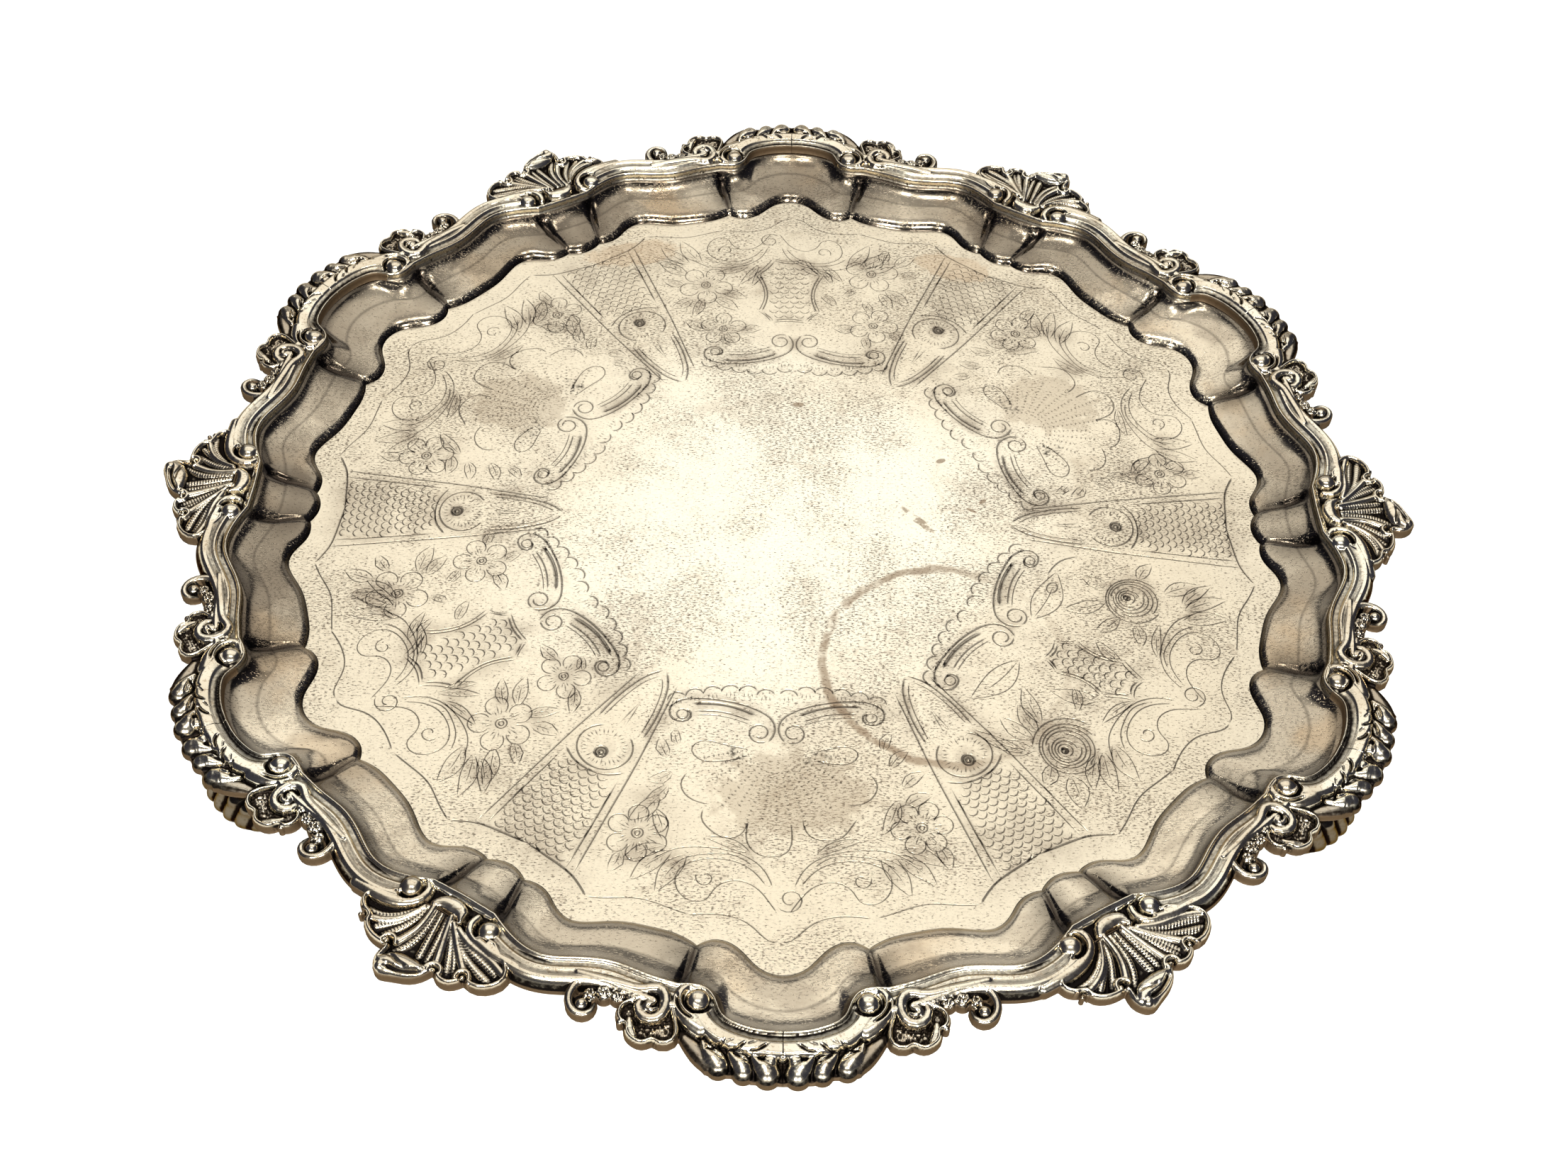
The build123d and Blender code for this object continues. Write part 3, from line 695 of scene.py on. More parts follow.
# ---- engraving -------------------------------------------------------------------------------
class Engraving:
    """V-shaped cuts in the well, kept as centre lines with a half width at every point."""

    def __init__(self):
        self.lines = []
        self.turn = 0.0

    def cut(self, points, half=0.2, taper=True):
        """One cut through the points, in a sector frame whose +Y is the sector's middle."""
        points = np.array(points, float)
        if len(points) == 2:
            points = np.array([points[0], points.mean(0), points[1]])
        spread_of_cut, tapered_end = 1.5, 0.01
        width = np.full(len(points), half * spread_of_cut)
        if taper:
            width[0] = width[-1] = tapered_end
        x = points[:, 0] * math.cos(self.turn) + points[:, 1] * math.sin(self.turn)
        y = points[:, 1] * math.cos(self.turn) - points[:, 0] * math.sin(self.turn)
        self.lines.append((np.stack([x, y], -1), width))

    def curve(self, points, half=0.2, step=1.25):
        """One smooth cut."""
        points = np.array(points, float)
        length = np.hypot(*np.diff(points, axis=0).T).sum()
        self.cut(spline(points, max(4, int(length / step))), half)

    def arc(self, centre, radius, start, end, half=0.2, squash=1.0, count=0):
        """Circular cut from start to end degrees, clockwise from +Y."""
        count = count or max(5, int(abs(end - start) / 24 * math.sqrt(radius)))
        angles = np.radians(np.linspace(start, end, count))
        x = centre[0] + radius * np.sin(angles)
        y = centre[1] + radius * squash * np.cos(angles)
        self.cut(np.stack([x, y], -1), half, abs(end - start) < 350)

    def spiral(self, centre, outer, inner, start, turns, half=0.2):
        """Spiral cut from the outer to the inner radius; turns below 0 run anticlockwise."""
        count = int(abs(turns) * 14) + 4
        share = np.linspace(0, 1, count)
        angles = np.radians(start) + share * turns * 2 * math.pi
        radius = outer + (inner - outer) * share
        x, y = centre[0] + radius * np.sin(angles), centre[1] + radius * np.cos(angles)
        self.cut(np.stack([x, y], -1), half)

    def leaf(self, base, tip, width, veins=3, bend=0.0):
        """Pointed leaf: two edges, a middle vein and short side veins."""
        base, tip = np.array(base, float), np.array(tip, float)
        along = tip - base
        across = np.array([-along[1], along[0]]) / np.hypot(*along)
        middle = [base + along * s + across * bend * math.sin(math.pi * s) for s in (0, 0.25, 0.5, 0.75, 1)]
        for side in (-1, 1):
            edge = [middle[0]]
            edge += [m + across * side * width * w for m, w in zip(middle[1:4], (0.8, 1.0, 0.62))]
            self.curve(edge + [middle[4]], 0.13, 1.6)
        self.curve(middle[:4], 0.11, 2.4)
        for vein in range(veins):
            start = 0.22 + 0.5 * vein / max(veins, 1)
            root = base + along * start + across * bend * math.sin(math.pi * start)
            for side in (-1, 1):
                reach = root + along * 0.13 + across * side * width * 0.62
                self.cut([root + across * side * 0.25, reach], 0.12)

    def leaves(self, rows, veins, bend):
        """Several leaves; a row is the base, the tip and the width."""
        for x0, y0, x1, y1, width in rows:
            self.leaf((x0, y0), (x1, y1), width, veins, bend)

    def flower(self, centre, petal, reach, count=5, start=0.0):
        """Open flower: round petals with radial ticks about a small ring."""
        self.arc(centre, reach * 0.26, 0, 360, 0.16)
        self.arc(centre, reach * 0.12, 0, 360, 0.16)
        for index in range(count):
            turn = start + index * 360 / count
            x = centre[0] + reach * math.sin(math.radians(turn))
            y = centre[1] + reach * math.cos(math.radians(turn))
            self.arc((x, y), petal, turn - 150, turn + 150, 0.14)
            for lean, low, high in ((-13, 0.42, 0.80), (0, 0.40, 1.15), (13, 0.46, 0.84)):
                x = reach * math.sin(math.radians(turn + lean))
                y = reach * math.cos(math.radians(turn + lean))
                self.cut([(centre[0] + x * share, centre[1] + y * share) for share in (low, high)], 0.16)

    def rails(self):
        """Points and edges of every cut: its two rims and its bottom."""
        points, edges, middles, widths = [], [], [], []
        sample_step = 0.12
        for line, half in self.lines:
            slope = np.gradient(line, axis=0)
            slope /= np.maximum(np.hypot(slope[:, 0], slope[:, 1]), 1e-9)[:, None]
            across = np.stack([-slope[:, 1], slope[:, 0]], -1) * half[:, None]
            for rail in (line - across, line, line + across):
                start = len(points)
                points.extend(rail.tolist())
                edges.extend((start + i, start + i + 1) for i in range(len(line) - 1))
            for first, second, low, high in zip(line[:-1], line[1:], half[:-1], half[1:]):
                steps = max(1, int(np.hypot(*(second - first)) / sample_step))
                for step in range(steps):
                    share = step / steps
                    middles.append(first + (second - first) * share)
                    widths.append(low + (high - low) * share)
            middles.append(line[-1])
            widths.append(half[-1])
        return points, edges, middles, widths


contour_half = [(0.0, 136.3), (1.4, 136.3), (5.5, 133.4), (9.0, 130.6), (13.0, 129.3), (17.0, 129.0), (22.4, 129.4)]
contour_side = [(9.9, 131.3), (12.2, 130.5), (15.8, 130.0), (19.1, 132.5), (21.1, 133.9)]
shell_contour = [(20.8, 132.2), (17.8, 130.6), (14.5, 129.2), (11.1, 128.5), (6.5, 128.0), (0, 127.3)]
bar_outer = [(2.4, 78.6), (0.7, 75.8), (1.0, 71.8), (4.9, 68.3), (11.2, 65.9), (19.1, 64.7), (25.4, 65.4),
             (28.2, 67.9), (27.8, 71.0), (25.0, 72.2), (22.7, 71.0), (23.0, 68.9), (24.9, 68.6)]
bar_shade = [(5.4, 69.9), (10.4, 67.6), (16.8, 66.3), (22.6, 66.4)]
bar_inner = [(6.6, 71.8), (11.2, 69.9), (16.8, 68.8), (21.5, 68.9)]
scroll_ring = [(1.5, 128.5), (3.5, 125.5), (6.5, 121.8), (10.5, 119.8), (14.5, 120.2), (17.2, 122.5),
               (18.8, 124.9), (21.7, 125.6), (25.0, 123.9), (26.6, 120.6), (25.9, 117.0), (23.0, 114.7),
               (18.0, 113.6), (12.0, 114.3), (7.5, 117.0), (4.3, 121.0)]
scroll_stem = [(2.6, 121.5), (5.0, 116.5), (9.5, 112.7), (15.0, 110.9), (21.0, 110.3), (27.0, 111.0), (33.0, 114.4)]
scroll_inner = [(7.5, 115.6), (12.0, 112.6), (18.0, 112.2), (24.0, 113.3), (28.5, 116.4)]
wedge_edge = [(14.7, 129.2), (11.8, 107.0), (9.9, 93.0), (8.2, 83.0), (6.3, 72.0), (5.4, 66.5)]
wedge_inner = [(12.2, 128.4), (10.4, 113.0), (9.4, 105.0), (8.7, 99.5)]
petal_outer = [(7.0, 86.5), (6.5, 80.0), (5.0, 73.0), (2.9, 67.7), (0.2, 64.4)]
petal_inner = [(5.8, 85.5), (5.0, 79.0), (3.6, 73.0), (1.9, 68.9), (0.1, 66.6)]


def flipped(points, side, middle=0.0, drop=0.0, size=1.0):
    """The points, mirrored for side -1, scaled sideways and moved."""
    return [(middle + side * x * size, y - drop) for x, y in points]


def scale_places(centre, high, low, pitch, row_step, width_at):
    """Places of fish scales in rows from high down to low; width_at gives the half width at a height."""
    row, y = 0, high
    while y > low:
        shift = pitch / 2 * (row % 2)
        for index in range(-4, 5):
            x = index * pitch + shift
            if abs(x) < width_at(y):
                yield centre + x, y
        y -= row_step
        row += 1


def shell_wedge(art):
    """Fish-scale wedge with a daisy and a long petal, on the middle line of a shell."""
    for side in (-1, 1):
        art.curve(flipped(shell_contour, side), 0.24)
        for line in (wedge_edge, wedge_inner):
            art.curve(flipped(line, side), 0.19, 4.0)
        art.curve(flipped(petal_outer, side), 0.24, 1.6)
        art.curve(flipped(petal_inner, side), 0.14, 1.6)
        for tick in range(9):
            y = 70.5 + tick * 1.7
            x = 1.1 + tick * 0.52
            art.cut(flipped([(x, y), (x + 1.1, y + 0.6)], side), 0.13)
        art.cut(flipped([(1.0, 86.3), (0.5, 81.0), (0, 75.6)], side), 0.18)
    for x, y in scale_places(0, 126.6, 101.8, 3.1, 1.9, lambda y: 12.2 - (128.4 - y) * 0.128 - 1.2):
        art.arc((x, y - 1.0), 1.5, -88, 88, 0.16, 1.15, 6)
    art.curve([(-9.1, 97.4), (-5.0, 100.4), (0, 101.4), (5.0, 100.6), (9.0, 98.2)], 0.22)
    art.arc((0, 93.4), 7.5, -150, 150, 0.2, 0.9)
    art.arc((0, 95.2), 1.6, 0, 360, 0.3)
    art.arc((0, 95.2), 0.7, 0, 360, 0.34)
    for index in range(30):
        turn = math.radians(index * 12 + 3)
        inner = 4.3 + 0.7 * math.sin(index * 2.4)
        art.cut([(inner * math.sin(turn), 93.4 + inner * 0.9 * math.cos(turn)),
                 (6.6 * math.sin(turn), 93.4 + 5.9 * math.cos(turn))], 0.17)


def arch_common(art, middle=2.2, drop=0.0, scroll_shift=0.0, scroll_size=1.0):
    """What every arch sector carries: the contour, two C-scrolls with lobes, and the leaf scroll."""
    for side in (-1, 1):
        art.curve(flipped(contour_half, side, 0.8), 0.17)
        art.curve([polar(side * a, r) for a, r in contour_side], 0.17)
        for line, half in ((bar_outer, 0.24), (bar_shade, 0.42), (bar_inner, 0.2)):
            art.curve(flipped(line, side, middle, drop), half)
        art.curve([(middle + side * x, y - drop + 1.3) for x, y in bar_inner], 0.13)
        art.spiral((middle + side * 4.4, 75.4 - drop), 3.3, 1.5, side * -40, side * 1.25, 0.2)
        art.arc((middle + side * 24.9, 69.9 - drop), 1.5, 0, 360, 0.18)
        for lobe in range(6):
            x = 3.0 + lobe * 4.7
            y = 66.0 - 1.3 * math.sqrt(lobe) + 0.18 * lobe * lobe - 2.2
            lean = side * (172 - lobe * 3)
            art.arc((middle + side * x, y - drop), 2.5, lean - 78, lean + 78, 0.2)
            for tick in (-1.2, 0.0, 1.2):
                art.cut([(middle + side * (x + tick), y - drop + 1.7),
                         (middle + side * (x + tick * 0.75), y - drop - 0.4)], 0.15)
        for line in (scroll_ring, scroll_stem):
            art.curve(flipped(line, side, scroll_shift, 0.0, scroll_size), 0.14)
        art.spiral((scroll_shift + side * 19.2 * scroll_size, 119.0), 2.6, 0.8, side * 120, side * -0.95, 0.15)
        art.curve(flipped(scroll_inner, side, scroll_shift, 0.0, scroll_size), 0.14)
        for base, tip, width in (((24.0, 112.5), (31.5, 123.6), 2.4), ((27.5, 111.4), (38.0, 120.4), 2.2),
                                 ((29.0, 110.2), (40.5, 114.6), 1.9), ((8.0, 112.0), (20.0, 107.4), 1.3)):
            art.leaf(*flipped([base, tip], side, scroll_shift), width, 2, side * -0.8)
    art.spiral((scroll_shift - 1.6, 124.7), 3.7, 0.9, 60, -1.35, 0.15)


def shell_panel(art):
    """The engraved scallop shell between two flowers."""
    lobes = [
        [(-1.6, 102.6), (-2.0, 107.0), (-0.8, 111.3), (2.8, 112.7), (6.3, 112.1), (9.1, 109.0), (9.5, 105.8),
         (9.0, 102.4)],
        [(-18.6, 101.0), (-16.6, 104.2), (-14.2, 107.0), (-10.3, 107.7), (-7.1, 107.0), (-5.1, 104.2), (-4.7, 101.6)],
        [(9.3, 102.8), (10.3, 105.8), (12.6, 107.4), (15.8, 107.1), (18.9, 105.0), (20.9, 101.8), (20.4, 98.8)],
        [(-21.6, 87.4), (-23.7, 90.8), (-22.6, 94.6), (-18.8, 97.0), (-15.4, 97.0)],
        [(19.0, 97.8), (22.1, 97.0), (25.3, 94.9), (26.5, 91.6), (24.8, 88.0)],
        [(-8.0, 83.8), (-13.4, 84.8), (-17.6, 84.0), (-19.0, 81.5), (-17.2, 79.6), (-12.5, 79.9), (-7.5, 81.0)],
        [(10.5, 83.2), (17.0, 84.6), (22.2, 84.0), (24.2, 80.8), (22.4, 78.6), (17.0, 79.0), (10.0, 80.6)],
    ]
    for lobe in lobes:
        art.curve(lobe, 0.16)
    for index in range(17):
        lean = -78 + index * 9.75
        turn = math.radians(lean)
        reach = 27.5 - 7.0 * abs(math.sin(turn)) - 3.5 * (index % 2)
        ticks = int((reach - 8) / 1.25)
        for tick in range(ticks):
            distance = 8 + tick * 1.25
            x = 2 + distance * math.sin(turn)
            y = 79 + distance * 1.12 * math.cos(turn)
            size = 0.32 + 0.018 * distance
            wander = 0.3 * math.sin(index * 5.1 + tick * 3.7)
            art.cut([(x - size * math.cos(turn), y + size * math.sin(turn) + wander),
                     (x + size * math.cos(turn), y - size * math.sin(turn) - wander)], 0.24)
    art.flower((-34.7, 103.4), 2.6, 5.4, 6, 20)
    art.flower((36.7, 106.6), 2.6, 5.6, 6, 0)
    art.leaves([(31.5, 95.0, 39.5, 103.0, 2.2), (29.5, 92.0, 36.0, 98.0, 1.8), (28.5, 88.0, 35.5, 91.0, 1.7),
                (33.0, 99.0, 30.0, 109.0, 1.8), (30.0, 84.0, 32.4, 76.8, 1.7), (27.5, 80.0, 28.5, 74.2, 1.4),
                (-30.5, 97.5, -38.0, 93.5, 1.9), (-29.0, 95.0, -24.5, 106.0, 1.9), (-30.0, 92.0, -36.5, 86.5, 1.7),
                (-27.0, 86.0, -32.5, 79.5, 1.6), (-25.5, 81.0, -28.0, 74.0, 1.5), (-38.0, 108.0, -41.5, 116.0, 1.9),
                (40.5, 111.5, 43.5, 118.0, 1.8)], 2, 0.7)


def cartouche(art, centre, half_width, low, high):
    """Scaled shield with a double outline."""
    for grow, half in ((0.0, 0.22), (1.1, 0.16)):
        wide = half_width + grow
        shoulder = (wide * 1.1, high - 7.0)
        hip = (wide * 0.98, low + 4.2)
        for side in (-1, 1):
            for line in ([(wide * 0.56, high + grow), (wide * 0.66, high - 2.0 + grow), shoulder],
                         [shoulder, (wide * 0.86, (low + high) / 2 + 2), (wide * 0.8, (low + high) / 2 - 4), hip],
                         [hip, (wide * 0.7, low + 1.6), (wide * 0.56, low - grow)]):
                art.curve(flipped(line, side, centre), half)
        for level, middle in ((high + grow, high - 1.2 + grow), (low - grow, low + 0.8 - grow)):
            art.curve([(centre - wide * 0.56, level), (centre, middle), (centre + wide * 0.56, level)], half)
    for place in scale_places(centre, high - 2.6, low + 2.4, 3.3, 2.35, lambda y: half_width * 0.8 - 1.0):
        art.arc(place, 1.6, 92, 268, 0.16, 1.15, 6)


def flower_panel(art):
    """Cartouche between four five-petalled flowers."""
    cartouche(art, 0.0, 9.0, 85.2, 114.4)
    for centre, petal, reach, start in (((26.8, 108.8), 3.0, 5.8, 10), ((26.8, 83.7), 2.7, 5.2, 25),
                                        ((-27.2, 101.4), 3.0, 5.8, 30), ((-20.9, 80.6), 2.5, 4.9, 0)):
        art.flower(centre, petal, reach, 5, start)
    art.leaves([(31, 114, 32.5, 121.6, 1.9), (34.5, 112.5, 42.0, 118.6, 2.2), (35.5, 108, 43.0, 108.4, 1.8),
                (31, 101, 38.8, 93.0, 2.2), (29, 99.5, 33.0, 91.0, 1.8), (21.5, 101.5, 17.0, 97.5, 1.3),
                (26.8, 90, 24.0, 96.0, 1.5), (21.5, 82, 13.5, 82.6, 2.0), (23.5, 78.5, 24.5, 72.0, 1.6),
                (31.5, 80.5, 35.5, 76.0, 1.5), (9.8, 98.5, 15.5, 92.0, 1.5), (10.5, 110, 14.0, 103.0, 1.0),
                (10.2, 112.5, 17.5, 104.0, 1.2), (-10.0, 112.5, -16.5, 102.0, 1.2), (-9.8, 110, -12.5, 101, 1.0),
                (-33, 106, -43.5, 113.5, 2.2), (-34, 101, -41.5, 103.5, 1.7), (-31, 95, -38.0, 89.5, 2.0),
                (-28, 95, -31.0, 85.5, 1.7), (-24.5, 95.5, -16.0, 89.0, 2.0), (-22.5, 98.5, -13.5, 95.0, 1.7),
                (-15.5, 79.5, -8.0, 81.5, 1.8), (-25.5, 79.5, -33.5, 84.5, 1.7), (-22, 75.5, -17.0, 73.0, 1.4)], 3, 0.5)


def rose_panel(art):
    """Two full-blown roses beside a narrow cartouche."""
    cartouche(art, 3.4, 5.6, 86.0, 110.6)
    for centre, reach, drift in (((-24.5, 98.0), 8.0, (0.0, -2.4)), ((30.6, 103.4), 8.0, (1.4, -0.8))):
        for ring_index in range(8):
            share = ring_index / 8
            middle = (centre[0] + drift[0] * share, centre[1] + drift[1] * share)
            start = ring_index * 77
            art.arc(middle, reach * (1 - share) * 0.98, start, start + 300, 0.17)
        art.arc((centre[0] + drift[0], centre[1] + drift[1]), 0.6, 0, 360, 0.3)
    art.arc((30.6, 103.4), 9.6, 150, 280, 0.2)
    art.leaves([(38.0, 107.0, 46.3, 114.3, 2.9), (37.5, 101.5, 45.0, 103.0, 2.2), (36.0, 96.0, 39.0, 85.0, 2.4),
                (33.0, 94.5, 31.0, 83.0, 2.2), (30.5, 94.5, 24.5, 85.5, 2.0), (27.5, 94.0, 18.5, 84.0, 2.2),
                (37.5, 95.0, 38.5, 78.5, 1.6), (12.0, 104.0, 16.0, 90.5, 2.3), (11.5, 96.0, 19.0, 100.5, 1.4),
                (-17.0, 101.5, -10.0, 106.5, 1.8), (-17.0, 97.0, -8.5, 93.0, 2.0), (-20.0, 91.5, -11.0, 82.0, 2.2),
                (-26.0, 89.5, -25.0, 81.5, 2.0), (-31.0, 104.0, -39.5, 112.0, 2.4), (-32.0, 96.0, -40.0, 97.0, 1.9),
                (-2.5, 104.0, -6.5, 94.0, 1.6)], 3, 0.6)
    art.leaf((-3.5, 76.5), (-23.0, 75.0), 4.0, 0, -1.2)
    art.arc((-16.8, 76.4), 2.0, 0, 360, 0.18, 0.7)
    art.leaf((11.0, 79.5), (30.0, 74.0), 3.6, 0, 1.2)
    art.curve([(-31.5, 78.0), (-27.5, 74.5), (-20.0, 73.2)], 0.18)


def engraved():
    """All cuts of the well."""
    art = Engraving()
    for sector in range(6):
        art.turn = math.radians(sector * sector_angle)
        if sector % 2:
            arch_common(art)
            shell_panel(art)
        elif sector == 2:
            arch_common(art, 2.3, 3.2, -0.8, 0.86)
            rose_panel(art)
        else:
            arch_common(art, 1.8, 0.0, -5.0, 0.84)
            flower_panel(art)
        art.turn = math.radians(sector * sector_angle + half_sector)
        shell_wedge(art)
    return art


# ---- plate -----------------------------------------------------------------------------------
# Points per stretch of the outline: over an arch, along a side, over a shell.
ring_counts = (38, 40, 14)
# Rise of the bouge over the well, by the share of the way from the well to the lip.
rise_profile = [(0, 0.0), (0.012, 0.15), (0.03, 0.60), (0.055, 1.08), (0.09, 1.50), (0.14, 1.84), (0.2, 2.1),
                (0.28, 2.36), (0.38, 2.62), (0.48, 2.88), (0.56, 3.08), (0.60, 3.2), (0.64, 3.46), (0.70, 3.84),
                (0.76, 4.26), (0.82, 4.75), (0.88, 5.35), (0.94, 6.08), (1.0, 7.0)]


def crease_distance(lip):
    """Distance along the outline from every point of a ring to the nearest crease."""
    lengths = np.hypot(*(np.roll(lip, -1, 0) - lip).T)
    place = np.concatenate([[0], np.cumsum(lengths)[:-1]])
    steps = [ring_counts[0], ring_counts[1], ring_counts[2], ring_counts[1]] * 6
    creases = place[np.cumsum([0] + steps[:-1])]
    gap = np.abs(place[:, None] - creases)
    return np.minimum(gap, lengths.sum() - gap).min(1)


def crease_size(share):
    """Half width and depth of a crease, a share of the way from the well to the lip."""
    width = 0.35 + 1.9 * share
    return width, (0.3 + 2.0 * share) * math.sin(math.pi * min(share * 0.62 + 0.12, 1))


def engraving_density(middles, widths, spots):
    """How closely the metal round each spot is engraved, 0 on open ground and 1 in the densest work."""
    reach, grid_cell = 145, 0.5
    bins = np.arange(-reach, reach + grid_cell, grid_cell)
    middles = np.array(middles)
    load = np.histogram2d(middles[:, 0], middles[:, 1], [bins, bins], weights=widths)[0]
    for _ in range(3):
        for axis in (0, 1):
            load = sum(np.roll(load, step, axis) for step in range(-2, 3)) / 5
    place = np.clip(((spots + reach) / grid_cell).astype(int), 0, len(bins) - 2)
    return smooth_step(0.12, 0.42, load[place[:, 0], place[:, 1]])


def engraved_well(outline):
    """The well's points and triangles: flat metal and V-shaped cuts inside the outline."""
    points, edges, middles, widths = engraved().rails()
    start, around = len(points), len(outline)
    edges += [(start + i, start + (i + 1) % around) for i in range(around)]
    flat = [Vector(p) for p in points + outline.tolist()]
    result = delaunay_2d_cdt(flat, edges, [], 1, 0.002, False)
    spots, triangles = np.array([tuple(p) for p in result[0]]), result[2]
    tree = KDTree(len(middles))
    for index, place in enumerate(middles):
        tree.insert((place[0], place[1], 0), index)
    tree.balance()
    widest, shallowest = 0.56, 0.02
    sunk = np.zeros(len(spots))
    for index, (x, y) in enumerate(spots):
        found = tree.find_range((x, y, 0), widest)
        sunk[index] = max([(1 - gap / widths[near]) * widths[near] for _, near, gap in found], default=0)
    sunk[sunk < shallowest] = 0
    return spots, [list(f) for f in triangles], sunk, engraving_density(middles, widths, spots)


def plate_mesh(name):
    """Thin plate: engraved well, creased bouge, flange under the castings, and the underside."""
    well = ring(well_arch, well_side, well_shell, ring_counts)
    lip = ring(lip_arch, lip_side, lip_shell, ring_counts)
    around = len(well)
    spots, faces, sunk, worked = engraved_well(well)
    smooth = [bool(max(sunk[i] for i in f) > 0) for f in faces]
    cut_steepness, full_cut = 0.9, 0.11
    points = [np.column_stack([spots, well_top - cut_steepness * sunk])]
    fields = {"cut": [np.clip(sunk / full_cut, 0, 1)], "bouge": [np.zeros(len(spots))],
              "crease_and_edge_shade": [np.zeros(len(spots))], "worked": [worked]}
    starts = []

    def add_ring(place, height, cut=0.0, bouge=1.0, crease_and_edge_shade=0.0):
        """One more row of points round the plate, with the values of its fields."""
        starts.append(sum(len(p) for p in points))
        points.append(np.column_stack([place, np.full(around, height)]))
        for key, value in (("cut", cut), ("bouge", bouge), ("crease_and_edge_shade", crease_and_edge_shade), ("worked", 0.0)):
            fields[key].append(np.full(around, value))

    gap = crease_distance(lip)
    for share, rise in rise_profile:
        width, depth = crease_size(share)
        valley = np.clip(1 - gap / width, 0, 1)
        swell = 0.55 * math.sin(math.pi * share) * np.clip(gap / 9, 0, 1)
        height = well_top + rise + swell - depth * valley * (share < 1)
        # The cut field also paints shade into the crease valleys, along the well's edge and on the step line.
        edge_line = max(0.0, 1 - share / 0.06)
        step_line = 0.5 * (share == 0.6)
        cut = np.clip(np.clip(valley * 2.2, 0, 1) * min(share * 9, 1) + edge_line + step_line, 0, 1)
        # Painted shade beside the creases and near the well and the lip.
        near_crease = np.clip(1 - gap / 12, 0, 1) ** 1.5 * min(share * 4, 1)
        near_edges = max(smooth_step(0.80, 1.0, share), 1 - share / 0.09)
        add_ring(well + (lip - well) * share, height, cut, float(share > 0), np.maximum(near_crease, near_edges))
    reach = np.hypot(lip[:, 0], lip[:, 1])[:, None]
    out = lip * (1 + flange_width / reach)
    inner = lip * (1 + 0.3 / reach)
    for place, height in ((out, flange_top - 0.02), (out, flange_top - plate_gauge), (inner, flange_top - plate_gauge)):
        add_ring(place, height)
    for share, rise in rise_profile[::-2]:
        width, depth = crease_size(share)
        valley = np.clip(1 - gap / width, 0, 1)
        height = well_top + rise - plate_gauge - 0.15 * share - 0.8 * depth * valley * (share < 1)
        add_ring(well + (lip - well) * share * (1 - 0.001), height)
    for low, high in zip(starts[:-1], starts[1:]):
        for i in range(around):
            after = (i + 1) % around
            faces.append([low + i, high + i, high + after, low + after])
            smooth.append(True)
    faces.append([starts[-1] + i for i in range(around)])
    smooth.append(False)
    piece = new_object(name, np.concatenate(points), faces,
                       {key: np.concatenate(values) for key, values in fields.items()})
    piece.data.polygons.foreach_set("use_smooth", smooth)
    piece.data.validate()
    return piece


# ---- feet ------------------------------------------------------------------------------------
# Sections of a foot down its front and its back, as distance from the middle and height, and its half width.
foot_front = [(142.0, 20.8), (146.0, 18.6), (150.0, 16.6), (154.0, 15.2), (158.0, 14.7), (162.0, 15.2), (166.0, 15.7),
              (170.0, 15.2), (172.6, 13.4), (173.4, 12.0), (174.6, 9.6), (175.1, 7.4), (174.4, 4.6), (172.4, 2.0),
              (168.0, 0.0)]
foot_back = [(121.0, 20.8), (121.0, 18.6), (134.0, 17.4), (143.0, 13.8), (151.0, 10.8), (155.0, 9.2), (156.6, 8.0),
             (157.0, 7.0), (157.2, 6.0), (157.3, 5.0), (157.4, 4.0), (157.6, 3.0), (158.2, 1.8), (159.0, 0.8),
             (160.0, 0.0)]
foot_half = [17.0, 13.5, 10.8, 10.2, 12.5, 16.8, 20.0, 21.0, 20.8, 20.0, 19.6, 19.0, 17.8, 16.0, 14.0]


